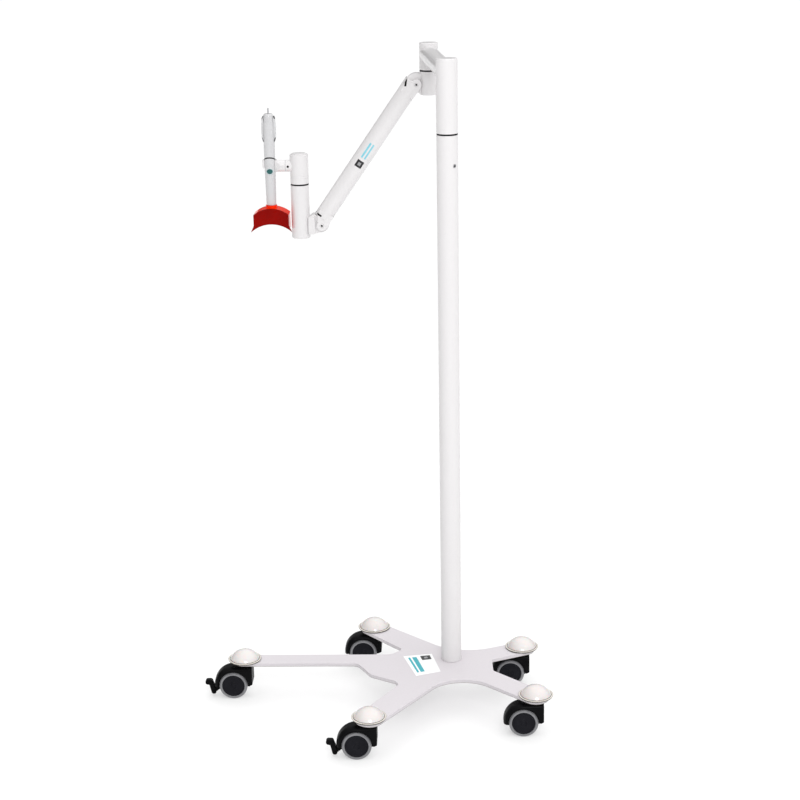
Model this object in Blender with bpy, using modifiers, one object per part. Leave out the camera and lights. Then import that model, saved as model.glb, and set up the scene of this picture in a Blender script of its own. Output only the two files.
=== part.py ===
"""Mobile stand with a parallel-link spring arm that carries a dental whitening lamp.

Five-legged steel base on twin-wheel casters, a pole, a swivelling boom, an arm that
pitches while its link keeps the post upright, and a lamp handpiece in a clip with a
light guard on its nose. Lengths are written in millimetres and turned into metres by MM.
"""

import math

import bmesh
import bpy
from mathutils import Euler, Matrix, Vector

MM = 0.001
GAP = 0.3  # between pieces that touch
ROUND = 24  # sides of the larger round pieces
SMALL_ROUND = 16  # sides of wheels, domes and pins

# Base
PLATE_TOP = 84.0
PLATE_THICK = 8.0
LEG_ENDS = {  # caster name: (x, y, direction in degrees, half the leg's width)
    "long": (-442.0, 0.0, 180.0, 21.5),
    "front_left": (-165.0, -273.0, 240.0, 27.0),
    "front_right": (171.0, -177.0, 315.0, 26.5),
    "rear_right": (152.0, 56.0, 20.4, 25.7),
    "rear_left": (-171.0, 163.0, 136.0, 26.0),
}
BRAKED = ("long", "front_left")

# Casters
WHEEL_R = 30.0
WHEEL_OUT = 20.0  # outer face of a wheel, from the caster's middle
WHEEL_IN = 3.0
TRAIL = 25.0
HOOD_R = 41.0
HOOD_CLEAR_R = 32.5
HOOD_TAIL = 184.0  # degrees round the wheel at which the hood ends behind
HOOD_TOP = 73.0
HOOD_FRONT = 16.0
HOOD_ROUND = ((20.0, 8.0), (18.8, 4.6), (15.3, 1.9), (6.0, 0.0))  # (half width, drop) down its edge
WHEEL_SIDES = 18
AXLE_R = 4.0
HUB_FLOOR = 16.5  # depth of the axle's blind bore in a wheel
WEB_HALF = WHEEL_IN - 0.6  # half the thickness of the web between the wheels
STEM_R = 5.3
STEM_TOP = 97.0
STEM_FOOT = 54.0
STEM_COLLAR_R = 9.0
PEDAL_HALF = 9.0
DOME_R = 35.3
DOME_RISE = 18.5
DOME_LIP = 3.6  # the flat lip's height and its width
DOME_WALL = 2.4

# Pole
POLE_R = 21.2
POLE_BORE_R = 19.2
POLE_TOP = 1200.0
RING_THICK = 2.7
RING_INSET = 0.4  # a ring's outside, inside the tubes it parts
BOLT_R = 4.7
PLUG_RISE = 40.0
SPIGOT_FOOT = 1120.0
SPIGOT_TOP = 1310.0
BOOM_TOP = 1347.7
SET_SCREW_Z = 1141.0
SET_SCREW_ROUND = -48.0  # degrees round the pole

# Boom and elbow
TUBE_R = 20.0
HUB_X = -38.0
HUB_Y = 350.0
HUB_TOP = 1346.0
HUB_FOOT = 1289.1
BOOM_Z = 1321.0
BOOM_TUBE_R = 19.5
BOOM_WALL = 3.0
SHAFT_R = 15.0  # pole spigot's bearing shaft
ELBOW_R = 11.0
ELBOW_FOOT = 1250.5
ELBOW_TOP = 1330.5
KNUCKLE_FOOT = 1236.0
PIN_R = 4.0  # of the shoulder and wrist pins
PIN_BORE_R = 4.3

# Spring arm
SHOULDER_X = -64.5
SHOULDER_Z = 1259.0
ARM_LENGTH = 367.3
ARM_DROP = 55.2  # degrees below level at rest
ARM_R = 19.3
ARM_BORE_R = 16.3
ARM_OFFSET = 8.0  # the tube's centre line stands this far above the line of the pivots
LUG_R = 11.5
LUG_HALF = 17.6
FORK_HALF = 10.6
LINK_RISE = 12.0  # the link's pivots stand this far above the main ones
LINK_R = 2.4
STRUT_R = 5.0
STRUT_ROD_R = 2.6
STRUT_DROP = 9.5  # of the gas spring's line below the tube's

# Post
POST_X = -321.0
POST_FOOT = 928.8
POST_SPLIT = 1045.4
POST_TOP = 1112.0
POST_WELL_R = 16.5  # bore that takes the spindle's plug
SPINDLE_FOOT = 985.0
SPINDLE_TOP = 1105.6
SPINDLE_R = 10.0
BOSS_R = 13.0
BOSS_END = POST_X - 29
CLIP_SPIGOT_R = 8.0
CLIP_SCREW_X = POST_X - 23.5

# Lamp
LAMP_X = -384.0
CLIP_Z = 1087.0
LAMP_R = 12.2
LAMP_TOP = 1200.0
LAMP_NOSE = 986.0
NOSE_R = 9.6
LENS_R = 8.1
JAW_R = 16.3
JAW_TOP = 1101.0
JAW_FOOT = 1083.0
SEAM_Z = 1100.5
SEAM_TILT = 26.0
SEAM_THICK = 2.2
BUTTON_Z = 1076.7

# Light guard
GUARD_HALF = 38.6
GUARD_TIP = 45.3
GUARD_APEX = 997.3
GUARD_SIDE_FOOT = 959.5
GUARD_ARCH_FOOT = 962.6  # crown of the arch cut out of the foot
GUARD_TOP_RISE = 13.8  # of each arch over its ends
GUARD_FOOT_RISE = 17.6
GUARD_DEPTH = 22.0
GUARD_WALL = 2.2

COLOURS = {  # name: (colour, roughness, metallic)
    "white_paint": ((0.86, 0.85, 0.87), 0.35, 0.0),
    "tube_paint": ((0.88, 0.88, 0.89), 0.25, 0.0),
    "dome_plastic": ((0.84, 0.81, 0.78), 0.2, 0.0),
    "black_plastic": ((0.012, 0.012, 0.014), 0.4, 0.0),
    "wheel_grey": ((0.12, 0.12, 0.13), 0.45, 0.0),
    "black_rubber": ((0.015, 0.015, 0.015), 0.7, 0.0),
    "steel": ((0.55, 0.55, 0.56), 0.3, 1.0),
    "lamp_shell": ((0.88, 0.88, 0.9), 0.3, 0.0),
    "teal_button": ((0.01, 0.12, 0.12), 0.4, 0.0),
    "red_guard": ((0.7, 0.02, 0.0), 0.15, 0.0),
    "clear_lens": ((0.85, 0.9, 0.95), 0.05, 0.0),
}


# ---------------------------------------------------------------- scene tools

def clear_scene():
    for old in list(bpy.data.objects):
        bpy.data.objects.remove(old, do_unlink=True)


def new_collection(name, hidden=False):
    made = bpy.data.collections.new(name)
    made.hide_render = hidden
    bpy.context.scene.collection.children.link(made)
    return made


def make_materials():
    made = {}
    for name, (colour, roughness, metallic) in COLOURS.items():
        material = bpy.data.materials.new(name)
        material.use_nodes = True
        shader = material.node_tree.nodes["Principled BSDF"]
        shader.inputs["Base Color"].default_value = (*colour, 1.0)
        shader.inputs["Roughness"].default_value = roughness
        shader.inputs["Metallic"].default_value = metallic
        made[name] = material
    return made


def empty(name, place, parent=None):
    """A pivot at a place in millimetres."""
    made = bpy.data.objects.new(name, None)
    made.empty_display_size = 0.02
    PARTS.objects.link(made)
    made.location = Vector(place) * MM
    bpy.context.view_layer.update()
    if parent:
        hang(made, parent)
    return made


def hang(piece, parent):
    """Parents a piece, and the cutters that shape it, and leaves them where they are."""
    bpy.context.view_layer.update()
    pieces = [piece] + [m.object for m in piece.modifiers if m.type == "BOOLEAN"]
    for each in pieces:
        each.parent = parent
        each.matrix_parent_inverse = parent.matrix_world.inverted()
    return piece


def add_object(name, mesh, paint):
    made = bpy.data.objects.new(name, mesh)
    if paint:
        mesh.materials.append(MATERIALS[paint])
        PARTS.objects.link(made)
    else:
        CUTTERS.objects.link(made)
        made.hide_render = True
        made.display_type = "WIRE"
    return made


def smooth(mesh):
    mesh.shade_smooth()
    mesh.set_sharp_from_angle(angle=math.radians(35))


def place(piece, at, turn=(0, 0, 0)):
    piece.location = Vector(at) * MM
    piece.rotation_euler = [math.radians(angle) for angle in turn]
    return piece


# ---------------------------------------------------------------- shape tools

def rounded(corners, steps=5):
    """An outline whose corners (x, y, radius) are turned into arcs."""
    outline = []
    count = len(corners)
    for index, (x, y, radius) in enumerate(corners):
        here = Vector((x, y))
        back = Vector(corners[index - 1][:2]) - here
        ahead = Vector(corners[(index + 1) % count][:2]) - here
        if radius <= 0:
            outline.append((x, y))
            continue
        back.normalize()
        ahead.normalize()
        half = math.acos(max(-1.0, min(1.0, back.dot(ahead)))) / 2
        reach = radius / math.tan(half)
        middle = here + (back + ahead).normalized() * (radius / math.sin(half))
        first = here + back * reach - middle
        last = here + ahead * reach - middle
        sweep = math.atan2(first.x * last.y - first.y * last.x, first.dot(last))
        for step in range(steps + 1):
            turn = sweep * step / steps
            cosine, sine = math.cos(turn), math.sin(turn)
            outline.append((
                middle.x + first.x * cosine - first.y * sine,
                middle.y + first.x * sine + first.y * cosine,
            ))
    return outline


def arc(centre, radius, start, end, steps):
    """Points on a circle, from one angle in degrees to another."""
    points = []
    for step in range(steps + 1):
        angle = math.radians(start + (end - start) * step / steps)
        points.append((centre[0] + radius * math.cos(angle), centre[1] + radius * math.sin(angle)))
    return points


def slab(name, outline, low, high, paint=None, upright=True):
    """A flat outline given thickness: along Y from low to high when upright, else along Z."""
    curve = bpy.data.curves.new(name, "CURVE")
    curve.dimensions = "2D"
    curve.fill_mode = "BOTH"
    curve.extrude = (high - low) / 2 * MM
    spline = curve.splines.new("POLY")
    spline.points.add(len(outline) - 1)
    for point, (x, y) in zip(spline.points, outline):
        point.co = (x * MM, y * MM, 0, 1)
    spline.use_cyclic_u = True
    shape = bpy.data.objects.new(name, curve)
    CUTTERS.objects.link(shape)
    bpy.context.view_layer.update()
    mesh = bpy.data.meshes.new_from_object(shape.evaluated_get(bpy.context.evaluated_depsgraph_get()))
    bpy.data.objects.remove(shape, do_unlink=True)
    bpy.data.curves.remove(curve)
    shift = Matrix.Translation((0, 0, (low + high) / 2 * MM))
    if upright:
        shift = Matrix.Translation((0, (low + high) / 2 * MM, 0)) @ Matrix.Rotation(math.pi / 2, 4, "X")
    shaped = bmesh.new()
    shaped.from_mesh(mesh)
    bmesh.ops.remove_doubles(shaped, verts=shaped.verts, dist=1e-6)
    bmesh.ops.transform(shaped, matrix=shift, verts=shaped.verts)
    bmesh.ops.recalc_face_normals(shaped, faces=shaped.faces)
    shaped.to_mesh(mesh)
    shaped.free()
    mesh.materials.clear()
    mesh.name = name
    return add_object(name, mesh, paint)


def loft(name, rings, paint):
    """A closed piece through outlines of one length, each (y, outline in X and Z)."""
    points = [(x * MM, y * MM, z * MM) for y, outline in rings for x, z in outline]
    count = len(rings[0][1])
    last = len(points) - count
    faces = [tuple(range(count)), tuple(range(last, len(points)))]
    for start in range(0, last, count):
        for index in range(count):
            ahead = (index + 1) % count
            faces.append((start + index, start + ahead, start + count + ahead, start + count + index))
    mesh = bpy.data.meshes.new(name)
    mesh.from_pydata(points, [], faces)
    shaped = bmesh.new()
    shaped.from_mesh(mesh)
    bmesh.ops.triangulate(shaped, faces=shaped.faces)
    bmesh.ops.recalc_face_normals(shaped, faces=shaped.faces)
    shaped.to_mesh(mesh)
    shaped.free()
    return add_object(name, mesh, paint)


def rod(name, radius, start, end, paint=None, sides=SMALL_ROUND):
    """A round bar between two points in millimetres."""
    start, end = Vector(start) * MM, Vector(end) * MM
    along = end - start
    turn = along.to_track_quat("Z", "Y").to_matrix().to_4x4()
    shaped = bmesh.new()
    bmesh.ops.create_cone(
        shaped, cap_ends=True, segments=sides, radius1=radius * MM, radius2=radius * MM,
        depth=along.length, matrix=turn,
    )
    mesh = bpy.data.meshes.new(name)
    shaped.to_mesh(mesh)
    shaped.free()
    smooth(mesh)
    made = add_object(name, mesh, paint)
    made.location = (start + end) / 2
    return made


def box(name, low, high, paint=None):
    shaped = bmesh.new()
    bmesh.ops.create_cube(shaped, size=1.0)
    size = (Vector(high) - Vector(low)) * MM
    middle = (Vector(high) + Vector(low)) / 2 * MM
    bmesh.ops.scale(shaped, vec=size, verts=shaped.verts)
    mesh = bpy.data.meshes.new(name)
    shaped.to_mesh(mesh)
    shaped.free()
    made = add_object(name, mesh, paint)
    made.location = middle
    return made


def turned(name, profile, centre, paint=None, sides=SMALL_ROUND):
    """A round piece about Z: (radius, height) points running top to bottom down its outer side.

    A profile that starts and ends on the axis is solid; any other is closed into a ring.
    """
    mesh = bpy.data.meshes.new(name)
    solid = profile[0][0] == 0 and profile[-1][0] == 0
    count = len(profile)
    edges = [(i, i + 1) for i in range(count - 1)]
    if not solid:
        edges.append((count - 1, 0))
    mesh.from_pydata([(radius * MM, 0, height * MM) for radius, height in profile], edges, [])
    made = add_object(name, mesh, paint)
    made.location = (centre[0] * MM, centre[1] * MM, 0)
    screw = made.modifiers.new("turn", "SCREW")
    screw.steps = sides
    screw.render_steps = sides
    screw.use_merge_vertices = True
    screw.merge_threshold = 1e-6
    screw.use_smooth_shade = True
    return made


def tube_profile(outer, inner, top, foot):
    return [(inner, top), (outer, top), (outer, foot), (inner, foot)]


def shape_with(piece, operation, tools):
    for number, tool in enumerate(tools):
        change = piece.modifiers.new(f"{operation.lower()}_{number}", "BOOLEAN")
        change.operation = operation
        change.object = tool
    return piece


def cut(piece, *tools):
    return shape_with(piece, "DIFFERENCE", tools)


def join(piece, *tools):
    return shape_with(piece, "UNION", tools)


def keep_inside(piece, *tools):
    return shape_with(piece, "INTERSECT", tools)


# ---------------------------------------------------------------- base

def leg_corners(name):
    """The two corners of a leg's end, in order round the plate, with the radius that rounds it."""
    x, y, direction, half = LEG_ENDS[name]
    out = Vector((math.cos(math.radians(direction)), math.sin(math.radians(direction))))
    side = Vector((-out.y, out.x))
    end = Vector((x, y)) + out * half
    first = end - side * half
    last = end + side * half
    return [(first.x, first.y, half * 0.98), (last.x, last.y, half * 0.98)]


def base_plate():
    corners = (
        leg_corners("long")
        + [(-200, -21.5, 18), (-170, -76, 35), (-118, -107, 5), (-110, -124, 5)]
        + leg_corners("front_left")
        + [(10, -62, 75)]
        + leg_corners("front_right")
        + [(88, -60, 8), (86, -6, 8)]
        + leg_corners("rear_right")
        + [(15, 22, 110)]
        + leg_corners("rear_left")
        + [(-105, 47, 10), (-130, 21.5, 25)]
    )
    plate = slab(
        "base_plate", rounded(corners), PLATE_TOP - PLATE_THICK, PLATE_TOP, "white_paint", upright=False
    )
    holes = [
        rod(f"hole_{name}", STEM_R + GAP, (x, y, 70), (x, y, 90), sides=16)
        for name, (x, y, _, _) in LEG_ENDS.items()
    ]
    holes.append(rod("hole_pole_bolt", 5.3, (0, 0, 70), (0, 0, 90), sides=16))
    return cut(plate, *holes)


def dome_cap(name, x, y):
    """A thin hollow cap with a flat lip, over the caster's stem."""
    foot = PLATE_TOP + GAP
    lip_top = foot + DOME_LIP
    shoulder = DOME_R - DOME_LIP
    steps = 4
    ball = (shoulder ** 2 + DOME_RISE ** 2) / (2 * DOME_RISE)
    edge = math.asin(shoulder / ball)
    middle = lip_top + DOME_RISE - ball
    outside = []
    inside = []
    for step in range(steps + 1):
        angle = edge * step / steps
        outside.append((ball * math.sin(angle), middle + ball * math.cos(angle)))
        thin = ball - DOME_WALL
        inside.append((thin * math.sin(angle), middle + thin * math.cos(angle)))
    mouth = shoulder - DOME_WALL - 0.4
    profile = outside + [(DOME_R, lip_top), (DOME_R, foot), (mouth, foot)] + inside[::-1]
    return turned(f"dome_cap_{name}", profile, (x, y), "dome_plastic")


# ---------------------------------------------------------------- casters

def hood_outline(drop):
    """Side view of the hood about the stem, its back and top lowered by drop: square front."""
    wheel = (-TRAIL, WHEEL_R)
    back = arc(wheel, HOOD_R - drop, HOOD_TAIL, 92, 7)
    inner = arc(wheel, HOOD_CLEAR_R, 2, HOOD_TAIL, 10)
    front = [(HOOD_FRONT, HOOD_TOP - drop), (HOOD_FRONT, 33), (8.5, 29)]
    return back + front + inner


def caster_hood(name, x, y):
    """Hood with the web between the wheels and the axle moulded into it."""
    wheel = (-TRAIL, WHEEL_R)
    near = [(-half, hood_outline(drop)) for half, drop in HOOD_ROUND]
    far = [(half, hood_outline(drop)) for half, drop in HOOD_ROUND[::-1]]
    hood = loft(f"caster_hood_{name}", near + far, "black_plastic")
    web = slab(f"web_{name}", arc(wheel, HOOD_CLEAR_R + 2, -15, 200, 12), -WEB_HALF, WEB_HALF)
    reach = HUB_FLOOR - 0.5
    axle = rod(f"axle_{name}", AXLE_R, (wheel[0], -reach, wheel[1]), (wheel[0], reach, wheel[1]), sides=12)
    tools = [web, axle]
    if name in BRAKED:
        px, pz = pedal_pivot()
        arm = rounded([(wheel[0] - 28, 34, 2), (px - 4, pz + 3, 3), (px, pz - 5, 3), (wheel[0] - 28, 18, 2)], 3)
        tools.append(slab(f"brake_web_{name}", arm, 0.1 - WEB_HALF, WEB_HALF - 0.1))
        tools.append(rod(f"brake_pin_{name}", 2.0, (px, -PEDAL_HALF, pz), (px, PEDAL_HALF, pz), sides=10))
    join(hood, *tools)
    cut(hood, rod(f"socket_{name}", STEM_R + GAP, (0, 0, STEM_FOOT - 0.5), (0, 0, HOOD_TOP + 7), sides=16))
    for piece in [hood] + [m.object for m in hood.modifiers]:
        piece.location += Vector((x, y, 0)) * MM
    return hood


def caster_stem(name, x, y):
    """Stem with the collar that the plate rests on."""
    collar_top = PLATE_TOP - PLATE_THICK - GAP
    collar_foot = HOOD_TOP + GAP
    profile = [
        (0, STEM_TOP), (STEM_R, STEM_TOP), (STEM_R, collar_top), (STEM_COLLAR_R, collar_top),
        (STEM_COLLAR_R, collar_foot), (STEM_R, collar_foot), (STEM_R, STEM_FOOT), (0, STEM_FOOT),
    ]
    return turned(f"caster_stem_{name}", profile, (x, y), "steel", sides=16)


def wheel(name, side, x, y):
    """One wheel of the pair; side is -1 for the front wheel and 1 for the rear one.

    The true radius is at the middle of each flat, so the wheel stands on the floor on a flat.
    """
    rim = WHEEL_R / math.cos(math.pi / WHEEL_SIDES)
    shoulder = rim - 2.4
    bore_r = AXLE_R + GAP
    face = WHEEL_OUT - GAP
    profile = [
        (0, face), (shoulder, face), (rim, face - 3.2), (rim, WHEEL_IN + 3.5), (shoulder, WHEEL_IN),
        (bore_r, WHEEL_IN), (bore_r, HUB_FLOOR), (0, HUB_FLOOR),
    ]
    label = "outer" if side < 0 else "inner"
    made = turned(f"wheel_{label}_{name}", profile, (0, 0), "wheel_grey", sides=WHEEL_SIDES)
    return place(made, (x - TRAIL, y, WHEEL_R), (-90 * side, 0, 0))


def pedal_pivot():
    """The brake pedal's pivot in the caster's side view."""
    return (-TRAIL - 43.5, WHEEL_R - 19.0)


def brake_pedal(name, x, y):
    px, pz = pedal_pivot()
    lever = rounded([
        (px - 5, pz - 6, 4.5), (px + 5, pz - 6, 4.5), (px + 3, pz + 8, 3), (px - 4, pz + 27, 5),
        (px - 18, pz + 27, 5), (px - 18.5, pz + 16.5, 4.8), (px - 10, pz + 15, 1.5),
    ], 4)
    pedal = slab(f"brake_pedal_{name}", lever, -PEDAL_HALF, PEDAL_HALF, "black_plastic")
    slot_half = WEB_HALF + 0.5
    cut(
        pedal,
        box(f"pedal_slot_{name}", (px - 14, -slot_half, pz - 9), (px + 12, slot_half, pz + 17)),
        rod(f"pedal_hole_{name}", 2.3, (px, -12, pz), (px, 12, pz), sides=10),
    )
    for piece in [pedal] + [m.object for m in pedal.modifiers]:
        piece.location += Vector((x, y, 0)) * MM
    return pedal


def make_base(stand):
    hang(base_plate(), stand)
    for name, (x, y, _, _) in LEG_ENDS.items():
        hang(dome_cap(name, x, y), stand)
        hang(caster_stem(name, x, y), stand)
        swivel = empty(f"swivel_{name}", (x, y, HOOD_TOP), stand)
        hang(caster_hood(name, x, y), swivel)
        hang(wheel(name, -1, x, y), swivel)
        hang(wheel(name, 1, x, y), swivel)
        if name in BRAKED:
            px, pz = pedal_pivot()
            pivot = empty(f"brake_pivot_{name}", (x + px, y, pz), swivel)
            hang(brake_pedal(name, x, y), pivot)


# ---------------------------------------------------------------- pole

def lower_tube():
    """Pole tube, with the hole for the set screw that grips the spigot."""
    foot = PLATE_TOP + GAP
    tube = turned("lower_tube", tube_profile(POLE_R, POLE_BORE_R, POLE_TOP, foot), (0, 0), "tube_paint", sides=ROUND)
    way, level = set_screw_line()
    return cut(tube, rod("screw_hole", 4.0, way * 12 + level, way * 30 + level, sides=14))


def set_screw_line():
    around = math.radians(SET_SCREW_ROUND)
    return Vector((math.cos(around), math.sin(around), 0)), Vector((0, 0, SET_SCREW_Z))


def pole_plug():
    """Threaded plug that holds the tube down on the plate."""
    foot = PLATE_TOP + GAP
    profile = tube_profile(POLE_BORE_R - GAP, BOLT_R + GAP, foot + PLUG_RISE, foot)
    return turned("pole_plug", profile, (0, 0), "steel")


def pole_bolt():
    """Cap screw from under the plate, with a socket in its head."""
    head_top = PLATE_TOP - PLATE_THICK - GAP
    head_foot = head_top - 8
    socket_top = head_foot + 4.5
    bolt_top = PLATE_TOP + PLUG_RISE - 6
    profile = [
        (0, bolt_top), (BOLT_R, bolt_top), (BOLT_R, head_top), (9, head_top), (9, head_foot),
        (4, head_foot), (4, socket_top), (0, socket_top),
    ]
    return turned("pole_bolt", profile, (0, 0), "steel")


def pole_spigot():
    """Shaft that plugs the pole's top and carries the boom."""
    plug_r, plug_top = POLE_BORE_R - GAP, POLE_TOP - 2
    profile = [
        (0, SPIGOT_TOP), (SHAFT_R, SPIGOT_TOP), (SHAFT_R, plug_top), (plug_r, plug_top),
        (plug_r, SPIGOT_FOOT), (0, SPIGOT_FOOT),
    ]
    return turned("pole_spigot", profile, (0, 0), "steel", sides=ROUND)


def make_pole(stand):
    for piece in (lower_tube(), pole_plug(), pole_bolt(), pole_spigot()):
        hang(piece, stand)
    ring_foot = POLE_TOP + GAP
    ring = tube_profile(POLE_R - RING_INSET, SHAFT_R + GAP, ring_foot + RING_THICK, ring_foot)
    hang(turned("swivel_ring", ring, (0, 0), "black_rubber", sides=ROUND), stand)
    way, level = set_screw_line()
    inner, outer = POLE_BORE_R + 0.1, POLE_R + 0.6
    hang(rod("spigot_screw", 3.6, way * inner + level, way * outer + level, "steel", sides=14), stand)


# ---------------------------------------------------------------- boom and elbow

def boom_casting():
    """Upper tube, boom and far hub in one hollow casting, bored for the two swivel shafts."""
    top = BOOM_TOP
    foot = POLE_TOP + RING_THICK + 2 * GAP
    profile = [(0, top), (POLE_R - 2, top), (POLE_R, top - 2), (POLE_R, foot), (0, foot)]
    boom = turned("boom", profile, (0, 0), "tube_paint", sides=ROUND)
    hub_profile = [(0, HUB_TOP), (TUBE_R - 1.5, HUB_TOP), (TUBE_R, HUB_TOP - 1.5), (TUBE_R, HUB_FOOT), (0, HUB_FOOT)]
    hub = turned("hub_form", hub_profile, (HUB_X, HUB_Y), sides=ROUND)
    level = Vector((0, 0, BOOM_Z))
    far = Vector((HUB_X, HUB_Y, 0))
    along = far.normalized()
    beam = rod("beam_form", BOOM_TUBE_R, along * 6 + level, far - along * 6 + level, sides=ROUND)
    join(boom, hub, beam)
    bore_r = BOOM_TUBE_R - BOOM_WALL
    return cut(
        boom,
        rod("shaft_bore", SHAFT_R + 0.5, (0, 0, foot - 10), (0, 0, top - BOOM_WALL - 1), sides=ROUND),
        rod("beam_bore", bore_r, along * 2 + level, far - along * 19 + level, sides=ROUND),
        rod("hub_bore", ELBOW_R + 0.4, (HUB_X, HUB_Y, HUB_FOOT - 10), (HUB_X, HUB_Y, ELBOW_TOP + 0.5)),
    )


def make_boom(swivel):
    hang(boom_casting(), swivel)
    pin = [(0, ELBOW_TOP), (ELBOW_R, ELBOW_TOP), (ELBOW_R, ELBOW_FOOT), (0, ELBOW_FOOT)]
    hang(turned("elbow_pin", pin, (HUB_X, HUB_Y), "steel"), swivel)
    ring_top = HUB_FOOT - GAP
    ring = tube_profile(TUBE_R - RING_INSET, ELBOW_R + 0.4, ring_top, ring_top - RING_THICK)
    hang(turned("elbow_ring", ring, (HUB_X, HUB_Y), "black_rubber", sides=ROUND), swivel)


def shoulder_knuckle():
    """Swivel block under the hub, with the tongue that the arm's fork straddles."""
    sx, sz = SHOULDER_X, SHOULDER_Z
    top = HUB_FOOT - RING_THICK - 2 * GAP
    profile = [
        (0, top), (TUBE_R, top), (TUBE_R, KNUCKLE_FOOT + 3), (TUBE_R - 3, KNUCKLE_FOOT), (0, KNUCKLE_FOOT),
    ]
    block = turned("shoulder_knuckle", profile, (HUB_X, HUB_Y), "tube_paint", sides=ROUND)
    outline = (
        [(sx + 30, top - 1), (sx + 14, top - 1)]
        + arc((sx, sz), 24, 62, 190, 10)
        + arc((sx, sz), 15, 200, 265, 5)
        + [(sx + 13, sz - 22.9), (sx + 30, sz - 22.9)]
    )
    tongue = slab("tongue_form", outline, -FORK_HALF + GAP, FORK_HALF - GAP)
    tongue.location.y = HUB_Y * MM
    join(block, tongue)
    cut(
        block,
        rod("elbow_socket", ELBOW_R + GAP, (HUB_X, HUB_Y, ELBOW_FOOT - 0.5), (HUB_X, HUB_Y, top + 10)),
        rod("shoulder_bore", PIN_BORE_R, (sx, HUB_Y - 30, sz), (sx, HUB_Y + 30, sz), sides=14),
    )
    for side in (-1, 1):
        near, far = HUB_Y + side * FORK_HALF - side * GAP, HUB_Y + side * 30
        cut(block, rod(f"lug_relief_{side}", LUG_R + 1.2, (sx, near, sz), (sx, far, sz), sides=24))
    slot_for_link(block, sx, sz, -1)
    return block


def slot_for_link(block, x, z, side):
    """Opens the tongue's middle for the link's eye, and puts the link's pin back across it."""
    y = HUB_Y
    far = x + side * 32
    near = x - side * 8.5
    low_x, high_x = min(far, near), max(far, near)
    cut(block, box(f"{block.name}_link_slot", (low_x, y - 3.4, z + 4.6), (high_x, y + 3.4, z + 30)))
    if side < 0:
        cut(block, box(f"{block.name}_link_way", (low_x, y - 3.4, z - 24), (x - 0.8, y + 3.4, z + 6)))
    level = z + LINK_RISE
    join(block, rod(f"{block.name}_link_pin", LINK_R, (x, y - 7, level), (x, y + 7, level), sides=10))


def cross_pin(name, x, z):
    """A pivot pin across the fork, with a hexagon socket in its front end."""
    pin = rod(name, PIN_R, (x, HUB_Y - LUG_HALF, z), (x, HUB_Y + LUG_HALF, z), "steel", sides=14)
    socket = rod(f"{name}_socket", 2.2, (x, HUB_Y - LUG_HALF - 3, z), (x, HUB_Y - LUG_HALF + 3, z), sides=6)
    return cut(pin, socket)


# ---------------------------------------------------------------- spring arm

def arm_place(piece):
    """Turns a piece built along +X, with +Z up, onto the line of the arm's pivots."""
    turn = Euler((0, math.radians(ARM_DROP), math.pi)).to_matrix().to_4x4()
    shift = Matrix.Translation(Vector((SHOULDER_X, HUB_Y, SHOULDER_Z)) * MM)
    pieces = [piece] + [m.object for m in piece.modifiers if m.type == "BOOLEAN"]
    bpy.context.view_layer.update()
    for each in pieces:
        each.matrix_world = shift @ turn @ each.matrix_world
    return piece


def lug_outline(end, inward):
    """Side view of a fork lug: round about the pivot, and running back into the tube."""
    reach = end + inward * 30
    tail = [(reach, ARM_OFFSET + 13), (end + inward * 15, ARM_OFFSET + 13), (end + inward * 1, LUG_R + 1.5)]
    nose = arc((end, 0), LUG_R, 80, 270, 9)
    if inward < 0:
        nose = [(2 * end - px, pz) for px, pz in nose]
    return tail + nose + [(reach, -LUG_R + 0.6)]


def arm_tube():
    length = ARM_LENGTH
    tube = rod("arm_tube", ARM_R, (-1, 0, ARM_OFFSET), (length - 13.8, 0, ARM_OFFSET), "tube_paint", sides=ROUND)
    for tag, end, inward in (("upper", 0, 1), ("lower", length, -1)):
        join(tube, slab(f"lug_{tag}", lug_outline(end, inward), -LUG_HALF, LUG_HALF))
    cut(
        tube,
        rod("arm_bore", ARM_BORE_R, (27, 0, ARM_OFFSET), (length - 27, 0, ARM_OFFSET), sides=24),
        box("upper_slot", (-30, -FORK_HALF, -20), (15.5, FORK_HALF, 40)),
        box("lower_slot", (length - 28, -FORK_HALF, -20), (length + 30, FORK_HALF, 40)),
        box("upper_way", (10, -FORK_HALF, -24), (34, FORK_HALF, 19)),
        rod("upper_hole", PIN_BORE_R, (0, -30, 0), (0, 30, 0), sides=14),
        rod("lower_hole", PIN_BORE_R, (length, -30, 0), (length, 30, 0), sides=14),
    )
    return arm_place(tube)


def link_rod():
    """The parallel link: a rod with an eye at each end, above the line of the pivots."""
    drop = math.radians(ARM_DROP)
    start = (-LINK_RISE * math.sin(drop), LINK_RISE * math.cos(drop))
    end = (start[0] + ARM_LENGTH, start[1])
    link = rod("link_rod", LINK_R, (start[0] + 4, 0, start[1]), (end[0] - 4, 0, end[1]), "steel", sides=10)
    ends = (("upper", start), ("lower", end))
    join(link, *[rod(f"eye_{tag}", 5.2, (x, -2.6, z), (x, 2.6, z), sides=14) for tag, (x, z) in ends])
    cut(link, *[rod(f"eye_hole_{tag}", 2.8, (x, -9, z), (x, 9, z), sides=12) for tag, (x, z) in ends])
    return arm_place(link)


def gas_spring():
    """The strut that carries the arm's weight, lying in the tube below the link."""
    line = ARM_OFFSET - STRUT_DROP
    strut = rod("gas_spring", STRUT_R, (60, 0, line), (250, 0, line), "steel", sides=14)
    join(strut, rod("strut_rod", STRUT_ROD_R, (240, 0, line), (322, 0, line), sides=12))
    return arm_place(strut)


def make_arm(elbow, shoulder, link_pivot):
    hang(shoulder_knuckle(), elbow)
    hang(cross_pin("shoulder_pin", SHOULDER_X, SHOULDER_Z), elbow)
    hang(arm_tube(), shoulder)
    hang(gas_spring(), shoulder)
    hang(link_rod(), link_pivot)


# ---------------------------------------------------------------- post

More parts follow.
